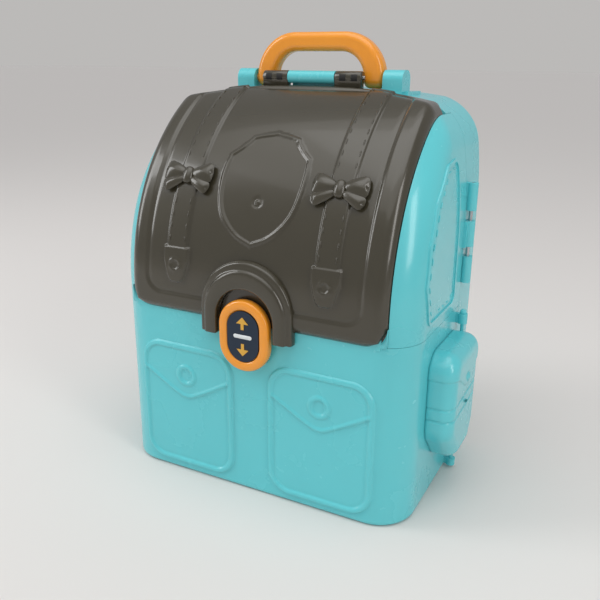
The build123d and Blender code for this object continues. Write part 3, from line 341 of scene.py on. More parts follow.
strap_x = 62 * mm
strap_half = 9.5 * mm
strap_foot = at_height(190 * mm)
tab_top, tab_tip = at_height(193 * mm), at_height(165.3 * mm)
shield_side = np.array([(0, 275), (13.5, 272.8), (18.2, 271.7), (20.4, 268.8), (26, 263.8), (32, 259.6),
                        (33.2, 247), (31.6, 232), (27.4, 220.5), (20.4, 211.8), (11.6, 205.2),
                        (0, 200.6)]) * mm


def shield_outline():
    """The shield's edge: straight lines round its notched shoulders, a smooth curve down to the tip."""
    corner = 5
    top = np.concatenate([np.linspace(a, b, 12)[:-1]
                          for a, b in zip(shield_side[:corner], shield_side[1:corner + 1])])
    belly = shield_side[corner:]
    steps = np.arange(len(belly), dtype=float)
    fine = np.linspace(0, steps[-1], 90)
    lower = np.floor(np.minimum(fine, steps[-1] - 1e-9)).astype(int)
    share = (fine - lower)[:, None]
    padded = np.concatenate([2 * belly[:1] - belly[1:2], belly, 2 * belly[-1:] - belly[-2:-1]])
    p0, p1, p2, p3 = (padded[lower + k] for k in range(4))
    curve = 0.5 * (2 * p1 + (p2 - p0) * share + (2 * p0 - 5 * p1 + 4 * p2 - p3) * share ** 2
                   + (3 * p1 - p0 - 3 * p2 + p3) * share ** 3)
    right = np.concatenate([top, curve])
    outline = np.concatenate([right, right[::-1] * np.array([-1, 1])])
    return outline[:, 0], at_height(outline[:, 1])


def flap_relief(x, s):
    """How far the flap's moulded pattern stands up, in metres."""
    corner = 13 * mm
    over_x = np.abs(x) - (flap_half - 17 * mm - corner)
    over_s = np.maximum(15.5 * mm + corner - s, s - (flap_length - 12 * mm - corner))
    outside = np.hypot(np.maximum(over_x, 0), np.maximum(over_s, 0))
    inset = corner - outside - np.minimum(np.maximum(over_x, over_s), 0)
    rise = -0.9 * ease(inset, -1.6 * mm, 1.6 * mm) - 0.35 * ridge(inset - 1.8 * mm, 0.4 * mm, 1.2 * mm)
    beside = np.abs(np.abs(x) - strap_x)
    strap = ease(-beside, -strap_half, 1.4 * mm - strap_half)
    strap = strap * ease(s, strap_foot - 3 * mm, strap_foot) * ease(flap_length - s, 7 * mm, 9 * mm)
    rise = rise + 1.5 * strap
    above_tip = (s - tab_tip) / mm
    tab_half = mm * np.interp(above_tip, (0, 1, 2.6, 5.5, 17, 30), (3.2, 5.4, 7.0, 8.2, 11.4, 11.8))
    tab = ease(-beside, -tab_half, 1.3 * mm - tab_half)
    tab = tab * ease(s, tab_tip - 0.2 * mm, tab_tip + 1.3 * mm) * ease(-s, -tab_top, 1.2 * mm - tab_top)
    rise = np.where(tab > 0, np.maximum(rise, -0.9 + 2.5 * tab), rise)
    rivet = np.hypot(beside, s - (tab_tip + tab_top) / 2)
    rise = rise + 0.7 * ridge(rivet - 4.4 * mm, 0.5 * mm, 1.0 * mm) - 0.35 * (1 - ease(rivet, 2 * mm, 4 * mm))
    gate = np.hypot(x, s - at_height(229.7 * mm))
    rise = rise + 0.8 * (1 - ease(gate, 0.8 * mm, 1.6 * mm))
    rise = rise - 0.4 * ridge(gate - 3.0 * mm, 0.4 * mm, 1.2 * mm)
    near = (np.abs(x) < 38 * mm) & (s > at_height(196 * mm)) & (s < at_height(280 * mm))
    line_x, line_s = shield_outline()
    distance = np.full_like(x, 1.0)
    flat = np.stack([x[near], s[near]], axis=-1)
    distance[near] = np.min(np.hypot(flat[:, :1] - line_x[None, :], flat[:, 1:] - line_s[None, :]), axis=1)
    rise = rise + 1.0 * ridge(distance, 0.7 * mm, 1.3 * mm)
    return rise * mm


def round_corners(x, s):
    """Draws the square corners of the flat pattern in to quarter rounds, larger at the lower edge."""
    x, s = x.copy(), s.copy()
    for is_rear, radius in ((False, 18 * mm), (True, 12 * mm)):
        along = flap_length - s if is_rear else s
        side = np.sign(x)
        a = (np.abs(x) - (flap_half - radius)) / radius
        b = (radius - along) / radius
        inside = (a > 0) & (b > 0)
        a, b = np.clip(a, 0, 1), np.clip(b, 0, 1)
        new_x = flap_half - radius + radius * a * np.sqrt(1 - b * b / 2)
        new_along = radius - radius * b * np.sqrt(1 - a * a / 2)
        x = np.where(inside, side * new_x, x)
        s = np.where(inside, flap_length - new_along if is_rear else new_along, s)
    return x, s


def spaced(low, high, coarse, fine_spots, fine, reach):
    """Positions from low to high, coarse apart, and fine apart within reach of the fine spots."""
    dense = np.linspace(low, high, 8000)
    spacing = np.full_like(dense, coarse)
    for spot in fine_spots:
        spacing = np.where(np.abs(dense - spot) < reach, fine, spacing)
    progress = np.concatenate([[0], np.cumsum(np.diff(dense) / spacing[1:])])
    count = int(np.ceil(progress[-1])) + 1
    return np.interp(np.linspace(0, progress[-1], count), progress, dense)


inner_x = flap_half - flap_edge
fine_x = [side * spot * mm for side in (-1, 1) for spot in (90, 52.5, 71.5, 62, 32, 26, 19, 12, 0)]
fine_s = [15.5 * mm, flap_length - 12 * mm, tab_tip, (tab_tip + tab_top) / 2, tab_top,
          at_height(203 * mm), at_height(229.7 * mm), at_height(262 * mm), at_height(272 * mm)]
grid_x = spaced(-inner_x, inner_x, 1.6 * mm, fine_x, 0.75 * mm, 3.2 * mm)
grid_s = spaced(flap_edge, flap_length - flap_edge, 1.5 * mm, fine_s, 0.8 * mm, 4 * mm)
x, s = np.meshgrid(grid_x, grid_s)
rows, columns = x.shape
border = np.concatenate([np.arange(columns), np.arange(1, rows) * columns + columns - 1,
                         (rows - 1) * columns + np.arange(columns - 2, -1, -1),
                         np.arange(rows - 2, 0, -1) * columns])
border_x, border_s = x.reshape(-1)[border], s.reshape(-1)[border]
out_x = np.where(np.abs(border_x) > inner_x - 1e-6, np.sign(border_x), 0)
out_s = np.where(border_s < grid_s[0] + 1e-6, -1, np.where(border_s > grid_s[-1] - 1e-6, 1, 0))
flat_x, flat_s = round_corners(x, s)
sheets = [flap_point(flat_x, flat_s, flap_relief(flat_x, flat_s)).reshape(-1, 3)]
limit = flap_skirt + (flap_fold - flap_skirt) * (1 - ease(border_s, 9.5 * mm, 22 * mm))
levels = [(math.sin(angle), flap_edge * (1 - math.cos(angle)))
          for angle in np.radians(np.linspace(0, 90, 11)[1:])]
levels += [(1.0, flap_edge + (flap_skirt - flap_edge) * share) for share in (0.35, 0.7, 1.0)]
for reach, depth in levels:
    ring_x, ring_s = round_corners(border_x + out_x * reach * flap_edge,
                                   border_s + out_s * reach * flap_edge)
    sheets.append(flap_point(ring_x, ring_s, -np.minimum(depth, limit)))
count = rows * columns
faces = [grid_faces(rows, columns)]
previous = border
for number in range(len(levels)):
    ring = count + number * len(border) + np.arange(len(border))
    faces.append(np.stack([previous, ring, np.roll(ring, -1), np.roll(previous, -1)], axis=-1))
    previous = ring
points = np.concatenate(sheets)
quads = np.concatenate(faces)
arch_hidden, arch_hidden_z = 31 * mm, 148.8 * mm
middle = points[quads].mean(axis=1)
under_arch = (middle[:, 1] < -75 * mm) & np.where(
    middle[:, 2] > arch_hidden_z,
    np.hypot(middle[:, 0], middle[:, 2] - arch_hidden_z) < arch_hidden,
    np.abs(middle[:, 0]) < arch_hidden)
flap = add_piece("flap_moulding", points, quads[~under_arch], brown, "flap",
                 inside=(0, 60 * mm, 150 * mm))
wall = flap.modifiers.new("wall", "SOLIDIFY")
wall.thickness = 2.2 * mm
wall.offset = -1

# Arch round the latch, part of the flap's moulding: a heavy ring in two steps whose legs reach down
# over the lower case on both sides of the button.

arch_steps = [(24.0, -79.4), (24.0, -86.6), (24.5, -87.6), (25.6, -88.0), (32.0, -88.0), (33.3, -87.6),
              (33.9, -86.6), (34.3, -85.9), (35.3, -85.6), (36.9, -85.6), (37.8, -85.0), (38.3, -83.9),
              (38.5, -81.0), (38.5, -79.4)]
section = np.array(arch_steps) * mm
arch_low, arch_high = 146 * mm, 151.5 * mm
centre_z = np.interp(section[:, 0], (section[0, 0], section[-1, 0]), (arch_low, arch_high))
leg_bottom = 132.6 * mm
turns = np.linspace(0, math.pi, 49)
leg = np.linspace(0, 1, 9)[:-1]
path_x = np.concatenate([np.ones(len(leg)), np.cos(turns), -np.ones(len(leg))])
path_up = np.concatenate([np.zeros(len(leg)), np.sin(turns), np.zeros(len(leg))])
share = np.concatenate([leg, np.ones(len(turns)), leg[::-1]])
base_z = leg_bottom + share[:, None] * (centre_z[None, :] - leg_bottom)
arch = np.stack([section[None, :, 0] * path_x[:, None],
                 np.broadcast_to(section[None, :, 1], (len(path_x), len(section))),
                 base_z + section[None, :, 0] * path_up[:, None]], axis=-1)
along, around = arch.shape[:2]
faces = grid_faces(along, around, around=True)
ends = [np.arange(around)[None, ::-1], ((along - 1) * around + np.arange(around))[None, :]]
arch_piece = add_piece("latch_arch", arch, [faces, *ends], brown, "flap")
soft = arch_piece.modifiers.new("soft edges", "BEVEL")
soft.width = 0.5 * mm
soft.segments = 2
soft.limit_method = "ANGLE"
soft.angle_limit = math.radians(50)

# Bows on the straps, moulded with the flap. Each has two gathered loops, two tails and a knot.


def swelling(length, start_half, end_half, thick, tilt, side, droop):
    """A closed lobe that grows from the knot outwards: its width eases from start_half to end_half,
    its ends round off, and two folds run along it. Gives points as across, along, out."""
    share = np.linspace(0, 1, 26)[:, None]
    angle = np.linspace(0, 2 * math.pi, 40, endpoint=False)[None, :]
    close = np.sqrt(np.clip(1 - np.abs(2 * share - 1) ** 7, 0, 1))
    half = (start_half + (end_half - start_half) * np.sin(share * math.pi / 2) ** 0.9) * close
    fold = 1 + 0.22 * np.cos(3 * angle) * share
    high = thick * (0.75 + 0.45 * np.sin(math.pi * share)) * close * fold
    across = side * (2.4 * mm + length * share) * np.ones_like(angle)
    along = half * np.sin(angle) * np.ones_like(share)
    out = high * np.cos(angle)
    notch = 1.8 * mm * ease(share, 0.75, 1.0) * (1 - np.abs(np.sin(angle)))
    across = across - side * notch
    turn = math.radians(tilt) * side
    return (across * math.cos(turn) - along * math.sin(turn),
            across * math.sin(turn) + along * math.cos(turn) + droop, out)


bow_s = at_height(242.5 * mm)
lobe_faces = grid_faces(26, 40, around=True)
bow_parts = [(19 * mm, 2.6 * mm, 8.0 * mm, 2.3 * mm, 4, side, 1.6 * mm) for side in (-1, 1)]
bow_parts += [(19.5 * mm, 2.0 * mm, 5.0 * mm, 1.7 * mm, -24, side, -1.0 * mm) for side in (-1, 1)]
for side, name in ((-1, "left_bow"), (1, "right_bow")):
    points, faces = [], []
    for part in bow_parts:
        across, along, out = swelling(*part)
        lobe = flap_point(side * strap_x + across, bow_s + along, 2.1 * mm + out)
        faces.append(lobe_faces + sum(len(one) for one in points))
        points.append(lobe.reshape(-1, 3))
    latitude = np.linspace(0, math.pi, 17)[:, None]
    longitude = np.linspace(0, 2 * math.pi, 28, endpoint=False)[None, :]
    squarish = np.abs(np.sin(latitude)) ** 0.6
    knot = flap_point(side * strap_x + 4.6 * mm * squarish * np.cos(longitude),
                      bow_s + 6.4 * mm * np.cos(latitude) * np.ones_like(longitude),
                      2.2 * mm + 3.4 * mm * squarish * np.sin(longitude))
    faces.append(grid_faces(17, 28, around=True) + sum(len(one) for one in points))
    points.append(knot.reshape(-1, 3))
    add_piece(name, np.concatenate(points), np.concatenate(faces), brown, "flap")

# Stitches along both edges of each strap: short raised dashes, moulded with it.


def dashes(place, starts, length, half, height, count_round=8):
    """Low rounded dashes, one from each start on, laid along a line by the given function."""
    share = np.linspace(0, 1, 7)
    close = np.sqrt(np.clip(1 - np.abs(2 * share - 1) ** 4, 0.0, 1))[:, None]
    angle = np.linspace(0, 2 * math.pi, count_round, endpoint=False)[None, :]
    along = starts[:, None, None] + (length * share)[None, :, None]
    side = (half * close * np.cos(angle))[None]
    out = (height * close * np.sin(angle))[None]
    along, side, out = np.broadcast_arrays(along, side, out)
    points = place(along, side, out)
    faces = grid_faces(7, count_round, around=True)
    steps = np.arange(len(starts))[:, None, None] * 7 * count_round
    return points.reshape(-1, 3), (faces[None] + steps).reshape(-1, 4)


stitch_starts = np.arange(strap_foot + 6 * mm, flap_length - 14 * mm, 9.5 * mm)
for strap in (-1, 1):
    for edge in (-1, 1):
        line_x = strap * strap_x + edge * 6.6 * mm
        near_bow = (stitch_starts > bow_s - 15 * mm) & (stitch_starts < bow_s + 8 * mm)
        points, faces = dashes(
            lambda along, side, out: flap_point(line_x + side, along, 0.62 * mm + out),
            stitch_starts[~near_bow], 5.2 * mm, 0.6 * mm, 0.55 * mm)
        name = ("left" if strap < 0 else "right") + "_strap_stitches_" + ("a" if edge < 0 else "b")
        add_piece(name, points, faces, brown, "flap", inside=(0, 60 * mm, 150 * mm))

# Hinge barrels at the flap's rear edge. The barrels are closed. Two patches on each are painted shade: thin
# near-black sheets laid on the barrel where its two slots would show the shade round the hinge rod.

hinge_y, hinge_z = 21 * mm, 313.5 * mm
barrel_radius = 4.8 * mm
# Near-black material for painted shade, standing in for the shade inside the hinge barrels' slots.
painted_slot_shade = plastic("painted slot shade", (18, 17, 16), roughness=0.6, coat=0.0)
for side, name in ((-1, "left_flap_barrel"), (1, "right_flap_barrel")):
    angle = np.radians(np.linspace(-62, 208, 37))
    curve_y = hinge_y + barrel_radius * np.cos(angle)
    curve_z = hinge_z + barrel_radius * np.sin(angle)
    outline = np.concatenate([np.stack([curve_y, curve_z], axis=-1),
                              [[16.6 * mm, 303.5 * mm], [22.9 * mm, 303.5 * mm]]])
    stations = np.array([20.3, 20.9, 41.4, 42.0]) * mm
    shrink = np.array([0.94, 1.0, 1.0, 0.94])[:, None, None]
    centre = np.array([hinge_y, hinge_z])
    ring = centre + (outline[None] - centre) * shrink
    points = np.concatenate([np.broadcast_to((side * stations)[:, None, None], (4, len(outline), 1)),
                             ring], axis=-1)
    faces = grid_faces(4, len(outline), around=True)
    caps = [np.arange(len(outline))[None, ::-1], (3 * len(outline) + np.arange(len(outline)))[None, :]]
    add_piece(name, points, [faces, *caps], brown, "flap")
    for number, start in enumerate((24.5, 34.0)):
        across = np.linspace(start, start + 5.2, 9) * mm
        turn = np.radians(np.linspace(150, 250, 13))
        patch_x, patch_turn = np.meshgrid(side * across, turn)
        # A patch of painted shade: a thin dark sheet just proud of the closed barrel, where a slot's shaded
        # inside would be.
        slot_shade_patch = np.stack([patch_x, hinge_y + (barrel_radius + 0.08 * mm) * np.cos(patch_turn),
                           hinge_z + (barrel_radius + 0.08 * mm) * np.sin(patch_turn)], axis=-1)
        slot_shade_patch = add_piece(f"{name}_slot_shade_{number}", slot_shade_patch, grid_faces(13, 9), painted_slot_shade, "flap",
                           inside=(side * 30 * mm, hinge_y, hinge_z))
        lip = slot_shade_patch.modifiers.new("depth", "SOLIDIFY")
        lip.thickness = 0.3 * mm
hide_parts("case_flap")
dress(brown, "latch_backplate")

# Latch button: an orange oval ring with a domed rim round a navy plate. Two gold arrows point up and
# down, and a plain white bar between them marks the place to press.

orange = plastic("orange plastic", (243, 156, 44), roughness=0.2, ripple=0.3, scuffs=0.06, glow=0.06)
navy = plastic("navy plate", (8, 34, 56), roughness=0.5, ripple=0.1, scuffs=0.0, coat=0.0)
gold = plastic("gold print", (222, 170, 62), roughness=0.35, ripple=0.0, coat=0.1)
white_print = plastic("white print", (226, 232, 234), roughness=0.4, ripple=0.0, coat=0.1)
latch_z = 134.5 * mm
latch_half = 21 * mm
latch_straight = 6.5 * mm
latch_rim = 7.8 * mm


def oval(radius, straight, steps):
    """An upright oval: two half rounds joined by straight sides, as x, z and the outward normal."""
    angle = np.linspace(0, 2 * math.pi, steps, endpoint=False) + math.pi / steps
    normal = np.stack([np.cos(angle), np.sin(angle)], axis=-1)
    return radius * normal[:, 0], straight * np.sign(normal[:, 1]) + radius * normal[:, 1], normal


ring_x, ring_z, normal = oval(latch_half - latch_rim / 2, latch_straight, 120)
turn = np.linspace(0, 2 * math.pi, 32, endpoint=False)
bulge_out = latch_rim / 2 * np.sign(np.cos(turn)) * np.abs(np.cos(turn)) ** 0.7
depth = 4.2 * mm * np.sign(np.sin(turn)) * np.abs(np.sin(turn)) ** 0.62
ring = np.stack([ring_x[:, None] + normal[:, :1] * bulge_out,
                 np.broadcast_to(-84.8 * mm + depth, (120, 32)),
                 latch_z + ring_z[:, None] + normal[:, 1:] * bulge_out], axis=-1)
ring_faces = grid_faces(121, 32, around=True) % (120 * 32)
disc_x, disc_z, _ = oval(latch_half - latch_rim * 0.7, latch_straight, 120)
disc = [np.stack([disc_x * k, np.full(120, y * mm), latch_z + disc_z * k], axis=-1)
        for k, y in ((0.001, -87.0), (1, -87.0), (1, -82.0), (0.001, -82.0))]
disc_faces = grid_faces(4, 120, around=True) + 120 * 32
button = add_piece("latch_ring", np.concatenate([ring.reshape(-1, 3), *disc]),
                   np.concatenate([ring_faces, disc_faces]), orange, "latch")
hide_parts("latch_button")
dress(navy, "latch_insert")
dress(gold, "latch_arrows")
bar_x, bar_z, _ = oval(1.5 * mm, 0, 24)
bar_x = bar_x + 6.2 * mm * np.sign(bar_x)
bar = [np.stack([bar_x * k, np.full(24, y * mm), latch_z + bar_z * k], axis=-1)
       for k, y in ((0.001, -88.75), (0.92, -88.75), (1, -88.6), (1, -88.3), (0.001, -88.3))]
add_piece("latch_bar", np.concatenate(bar), grid_faces(5, 24, around=True), white_print, "latch")

# Carrying handle on its two stubs.

dress(orange, "carry_handle", "left_knob", "right_knob", "ladle", "fork", "spatula")

# Side pods: hollow pouches on vertical pins. Each has a pouch flap with a pointed edge, two belts
# drawn round it as grooves, and a small rivet.

pod_face, pod_outer = 125.15 * mm, 146.1 * mm
pod_edge = 11 * mm
pod_corners = np.array([(34, 126), (-38, 126), (-38, 60), (-12, 32), (22, 32), (34, 52)]) * mm
pod_radii = np.array([14, 16, 20, 16, 12, 12]) * mm


def rounded_polygon(corners, radii, spacing):
    """A polygon with its corners rounded by arcs, resampled evenly: points and outward normals."""
    pieces = []
    for number, corner in enumerate(corners):
        before = corners[number - 1] - corner
        after = corners[(number + 1) % len(corners)] - corner
        before, after = before / np.linalg.norm(before), after / np.linalg.norm(after)
        half_angle = math.acos(float(np.clip(before @ after, -1, 1))) / 2
        centre = corner + (before + after) / np.linalg.norm(before + after) * (
            radii[number] / math.sin(half_angle))
        first = corner + before * radii[number] / math.tan(half_angle) - centre
        last = corner + after * radii[number] / math.tan(half_angle) - centre
        start, stop = math.atan2(first[1], first[0]), math.atan2(last[1], last[0])
        sweep = (stop - start + math.pi) % (2 * math.pi) - math.pi
        angle = start + sweep * np.linspace(0, 1, 30)
        pieces.append(centre + radii[number] * np.stack([np.cos(angle), np.sin(angle)], axis=-1))
    line = np.concatenate([*pieces, pieces[0][:1]])
    travelled = np.concatenate([[0], np.cumsum(np.linalg.norm(np.diff(line, axis=0), axis=1))])
    even = np.linspace(0, travelled[-1], int(travelled[-1] / spacing), endpoint=False)
    points = np.stack([np.interp(even, travelled, line[:, axis]) for axis in (0, 1)], axis=-1)
    tangent = np.roll(points, -1, axis=0) - np.roll(points, 1, axis=0)
    tangent /= np.linalg.norm(tangent, axis=1, keepdims=True)
    normal = np.stack([tangent[:, 1], -tangent[:, 0]], axis=-1)
    if np.mean(np.einsum("ij,ij->i", normal, points - points.mean(axis=0))) < 0:
        normal = -normal
    return points, normal


def pod_relief(y, z):
    """The pod's pattern: a pouch flap that stands up above its pointed edge, two belt grooves, a rivet."""
    middle_y = -2 * mm
    edge_z = 107 * mm - 13 * mm * ease(-np.abs(y - middle_y), -30 * mm, 0)
    flap_step = 0.8 * ease(z, edge_z - 0.5 * mm, edge_z + 0.8 * mm)
    slope = 84.5 * mm + (y + 38 * mm) * 0.05
    belt_gap = 10 * mm
    belt = -0.75 * sum(ridge(z - slope + drop, 0.35 * mm, 0.7 * mm) for drop in (0, belt_gap))
    rivet = np.hypot(y - middle_y, z - 100.5 * mm)
    button = 0.9 * ridge(rivet - 2.6 * mm, 0.5 * mm, 0.8 * mm)
    return mm * (flap_step + belt + button - 0.8)


outline, normal = rounded_polygon(pod_corners, pod_radii, 0.75 * mm)
inner = outline - normal * pod_edge
centre = np.array([-2, 80]) * mm
steps = np.linspace(0.0, 1, 44)[1:, None, None]
flat = centre + (inner[None] - centre) * steps
pod_x = np.full(flat.shape[:2], pod_outer)
pod_yz = [flat]
pod_normal = [np.zeros_like(flat)]
pod_across = [np.ones(flat.shape[:2])]
heights = [pod_x]
for angle in np.radians(np.linspace(0, 90, 13)[1:]):
    pod_yz.append((inner + normal * pod_edge * math.sin(angle))[None])
    heights.append(np.full((1, len(outline)), pod_outer - pod_edge * (1 - math.cos(angle))))
    pod_normal.append((normal * math.sin(angle))[None])
    pod_across.append(np.full((1, len(outline)), math.cos(angle)))
for height in np.linspace(pod_outer - pod_edge, pod_face, 7)[1:]:
    pod_yz.append(outline[None])
    heights.append(np.full((1, len(outline)), height))
    pod_normal.append(normal[None])
    pod_across.append(np.zeros((1, len(outline))))
yz, height = np.concatenate(pod_yz), np.concatenate(heights)
side_way, out_way = np.concatenate(pod_normal), np.concatenate(pod_across)
lift = pod_relief(yz[..., 0], yz[..., 1])
moved = yz + side_way * lift[..., None]
shape = np.stack([height + out_way * lift, moved[..., 0], moved[..., 1]], axis=-1)
apex = np.array([[pod_outer + pod_relief(centre[0], centre[1]), *centre]])
loops, around = shape.shape[:2]
pod_quads = grid_faces(loops, around, around=True) + 1
first = 1 + np.arange(around)
fan = np.stack([np.zeros(around, dtype=int), first, np.roll(first, -1)], axis=-1)
for side, word in ((-1, "left"), (1, "right")):
    points = np.concatenate([apex, shape.reshape(-1, 3)]) * np.array([side, 1, 1])
    pod = add_piece(word + "_pod_moulding", points, [pod_quads, fan], cyan, word + "_pod",
                    inside=(side * 120 * mm, centre[0], centre[1]))
    wall = pod.modifiers.new("wall", "SOLIDIFY")
    wall.thickness = 1.8 * mm
    wall.offset = -1
    ends = np.linspace(11 * mm, 110 * mm, 5)[:, None]
    turn = np.linspace(0, 2 * math.pi, 32, endpoint=False)[None, :]
    radius = np.array([1.7, 4.4, 4.4, 4.4, 1.7])[:, None] * mm
    barrel = np.stack([side * (130.5 * mm + radius * np.cos(turn)), 30 * mm + radius * np.sin(turn),
                       ends * np.ones_like(turn)], axis=-1)
    add_piece(word + "_pod_barrel", barrel, grid_faces(5, 32, around=True), cyan, word + "_pod")
    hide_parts(word + "_pod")

# Stitches inside the panel that is moulded into each side door.

door_corners = np.array([(-41, 156), (-48.5, 180), (-44.5, 205.5), (-31.5, 231), (-9.5, 252), (9, 256),
                         (12, 156)]) * mm
line, line_normal = rounded_polygon(door_corners, np.full(7, 8 * mm), 0.5 * mm)
line_length = np.arange(len(line)) * 0.5 * mm


def door_surface(y, z, lift):
    """The side of the case at y and z: upright, then a wide arc in above the straight part."""
    rise = np.maximum(z - 200 * mm, 0)
    return half_case - 420 * mm + np.sqrt((420 * mm) ** 2 - rise ** 2) + lift


for side, word in ((-1, "left"), (1, "right")):
    def on_door(along, across, out):
        y = np.interp(along, line_length, line[:, 0])
        z = np.interp(along, line_length, line[:, 1])
        way_y = np.interp(along, line_length, line_normal[:, 0])
        way_z = np.interp(along, line_length, line_normal[:, 1])
        y, z = y + way_y * across, z + way_z * across
        return np.stack([side * door_surface(y, z, out + 0.05 * mm), y, z], axis=-1)

    starts = np.arange(4 * mm, line_length[-1] - 8 * mm, 10 * mm)
    points, faces = dashes(on_door, starts, 5.5 * mm, 0.6 * mm, 0.6 * mm)
    add_piece(word + "_door_stitches", points, faces, cyan, word + "_door",
              inside=(0, 0, 200 * mm))

# Lower inner corner of each side door, which follows the flap's rounded corner at a small distance.

corner_x, corner_z = flap_half - 18 * mm, flap_bottom + 18 * mm
corner_reach = 18.5 * mm
door_edge, door_foot = 107.4 * mm, 142.3 * mm
low_angle = math.asin((door_foot - corner_z) / corner_reach)
high_angle = -math.acos((door_edge - corner_x) / corner_reach)
angle = np.linspace(low_angle, high_angle, 25)
edge_points = np.stack([corner_x + corner_reach * np.cos(angle), corner_z + corner_reach * np.sin(angle)],
                       axis=-1)
corner_outline = np.concatenate([edge_points, [[door_edge, door_foot]]])
for side, word in ((-1, "left"), (1, "right")):
    layers = [np.stack([side * corner_outline[:, 0], np.full(len(corner_outline), depth * mm),
                        corner_outline[:, 1]], axis=-1) for depth in (-78.95, -76.6)]
    around = len(corner_outline)
    sides = grid_faces(2, around, around=True)
    caps = [np.arange(around)[None, ::-1], (around + np.arange(around))[None, :]]
    add_piece(word + "_door_corner", np.concatenate(layers), [sides, *caps], cyan, word + "_door")

# Kitchen behind the flap: white worktop and tableware, black hob, silver-grey sink, tap and pans.

white = plastic("white kitchen plastic", (235, 235, 228), roughness=0.3, glow=0.05)
black = plastic("black hob plastic", (30, 30, 33), roughness=0.28)
silver = plastic("silver grey plastic", (176, 180, 184), roughness=0.3, scuffs=0.3)
dress(white, "worktop", "plate_stand", "left_cup", "right_cup", "front_plate", "back_plate",
      "latch_slide")
dress(black, "hob_plate", "left_burner", "right_burner")
dress(silver, "sink_bowl", "tap_base", "tap_spout", "saucepan", "saucepan_lid", "frying_pan")

# Steel pins, rod, springs and case screws, drawn wire with a brushed grain.


def steel():
    """Bright steel: metallic, with a fine grain drawn out along the pins."""
    material = bpy.data.materials.new("bright steel")
    material.use_nodes = True
    tree = material.node_tree
    shader = tree.nodes["Principled BSDF"]
    place = tree.nodes.new("ShaderNodeTexCoord")
    stretch = tree.nodes.new("ShaderNodeMapping")
    stretch.inputs["Scale"].default_value = (900, 900, 60)
    grain = tree.nodes.new("ShaderNodeTexNoise")
    grain.inputs["Scale"].default_value = 1.0
    tone = tree.nodes.new("ShaderNodeValToRGB")
    tone.color_ramp.elements[0].color = to_linear(150, 152, 156)
    tone.color_ramp.elements[1].color = to_linear(205, 207, 210)
    rough = tree.nodes.new("ShaderNodeMapRange")
    rough.inputs["To Min"].default_value = 0.22
    rough.inputs["To Max"].default_value = 0.4
    tree.links.new(place.outputs["Object"], stretch.inputs["Vector"])
    tree.links.new(stretch.outputs["Vector"], grain.inputs["Vector"])
    tree.links.new(grain.outputs["Fac"], tone.inputs["Fac"])
    tree.links.new(grain.outputs["Fac"], rough.inputs["Value"])
    tree.links.new(tone.outputs["Color"], shader.inputs["Base Color"])
    tree.links.new(rough.outputs["Result"], shader.inputs["Roughness"])
    shader.inputs["Metallic"].default_value = 1.0
    return material


dress(steel(), "case_screws", "right_door_pin", "left_door_pin", "flap_hinge_rod",
      "left_latch_spring", "right_latch_spring")

# Pale floor in pale surroundings. Two soft boxes stand at the sides and one hangs overhead, and a
# wide ceiling light keeps the floor even as far as the backdrop.

world = bpy.data.worlds.new("studio")
bpy.context.scene.world = world
world.use_nodes = True
tree = world.node_tree
tree.nodes.clear()
light_path = tree.nodes.new("ShaderNodeLightPath")
shown = tree.nodes.new("ShaderNodeMath")
shown.operation = "MAXIMUM"
seen = tree.nodes.new("ShaderNodeMath")
seen.operation = "MAXIMUM"
tree.links.new(light_path.outputs["Is Camera Ray"], shown.inputs[0])
tree.links.new(light_path.outputs["Is Transmission Ray"], shown.inputs[1])
room = tree.nodes.new("ShaderNodeBackground")
room.inputs["Color"].default_value = (0.97, 0.97, 1.0, 1)
room.inputs["Strength"].default_value = 0.42
backdrop = tree.nodes.new("ShaderNodeBackground")
backdrop.inputs["Color"].default_value = (0.50, 0.49, 0.48, 1)
backdrop.inputs["Strength"].default_value = 1.0
mix = tree.nodes.new("ShaderNodeMixShader")
output = tree.nodes.new("ShaderNodeOutputWorld")
tree.links.new(shown.outputs[0], mix.inputs["Fac"])
tree.links.new(room.outputs[0], mix.inputs[1])
tree.links.new(backdrop.outputs[0], mix.inputs[2])
tree.links.new(mix.outputs[0], output.inputs["Surface"])

floor_size = 40.0
floor_mesh = bpy.data.meshes.new("floor")
floor_mesh.from_pydata([(-floor_size, -floor_size, 0), (floor_size, -floor_size, 0),
                        (floor_size, floor_size, 0), (-floor_size, floor_size, 0)], [], [(0, 1, 2, 3)])
floor = bpy.data.objects.new("floor", floor_mesh)
bpy.context.scene.collection.objects.link(floor)
floor_material = bpy.data.materials.new("pale floor")
floor_material.use_nodes = True
floor_shader = floor_material.node_tree.nodes["Principled BSDF"]
floor_shader.inputs["Base Color"].default_value = (0.74, 0.72, 0.70, 1)
floor_shader.inputs["Roughness"].default_value = 0.8
floor_shader.inputs["Specular IOR Level"].default_value = 0.1
floor_mesh.materials.append(floor_material)


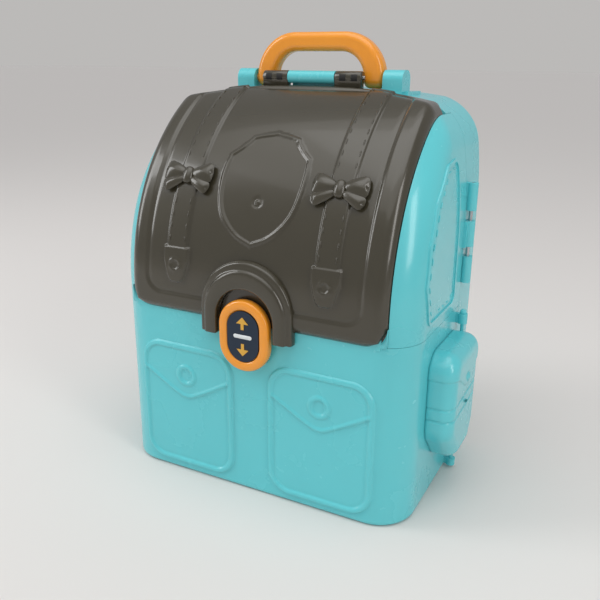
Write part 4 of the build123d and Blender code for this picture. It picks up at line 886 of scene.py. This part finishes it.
def soft_lamp(name, place, target, size_x, size_y, watts, colour=(1, 1, 1)):
    """A rectangular soft box at a place, turned to a target."""
    lamp = bpy.data.lights.new(name, "AREA")
    lamp.shape = "RECTANGLE"
    lamp.size, lamp.size_y = size_x, size_y
    lamp.energy = watts
    lamp.color = colour
    holder = bpy.data.objects.new(name, lamp)
    way = Vector(target) - Vector(place)
    holder.matrix_world = Matrix.Translation(place) @ way.to_track_quat("-Z", "Y").to_matrix().to_4x4()
    bpy.context.scene.collection.objects.link(holder)


soft_lamp("left soft box", (-1.3, -0.7, 0.9), (0, 0, 0.18), 0.5, 1.1, 8)
soft_lamp("right soft box", (1.25, -0.55, 0.8), (0, 0, 0.18), 0.35, 1.0, 5, (1, 0.97, 0.94))
soft_lamp("overhead soft box", (0.1, -0.3, 1.6), (0, 0, 0.15), 1.4, 1.0, 4)
ceiling = bpy.data.lights.new("ceiling light", "SUN")
ceiling.energy = 0.9
ceiling.angle = math.radians(70)
ceiling.color = (1, 0.985, 0.96)
ceiling_holder = bpy.data.objects.new("ceiling light", ceiling)
ceiling_holder.matrix_world = Matrix.Rotation(math.radians(18), 4, "X")
bpy.context.scene.collection.objects.link(ceiling_holder)

# Camera where the photograph was taken from, a little above the case and to its right.

yaw, pitch, roll = math.radians(27.13), math.radians(18.54), math.radians(0.53)
image_side, focal_pixels = 600, 704.9
camera = bpy.data.cameras.new("camera")
camera.sensor_width = 36
camera.lens = camera.sensor_width * focal_pixels / image_side
back = Vector((math.sin(yaw) * math.cos(pitch), -math.cos(yaw) * math.cos(pitch), math.sin(pitch)))
right = Vector((math.cos(yaw), math.sin(yaw), 0))
up = back.cross(right)
turned_right = math.cos(roll) * right + math.sin(roll) * up
turned_up = math.cos(roll) * up - math.sin(roll) * right
camera_object = bpy.data.objects.new("camera", camera)
axes = Matrix((turned_right, turned_up, back)).transposed().to_4x4()
camera_object.matrix_world = Matrix.Translation((254.6 * mm, -494.1 * mm, 323.3 * mm)) @ axes
bpy.context.scene.collection.objects.link(camera_object)
bpy.context.scene.camera = camera_object
bpy.context.scene.view_settings.view_transform = "Standard"
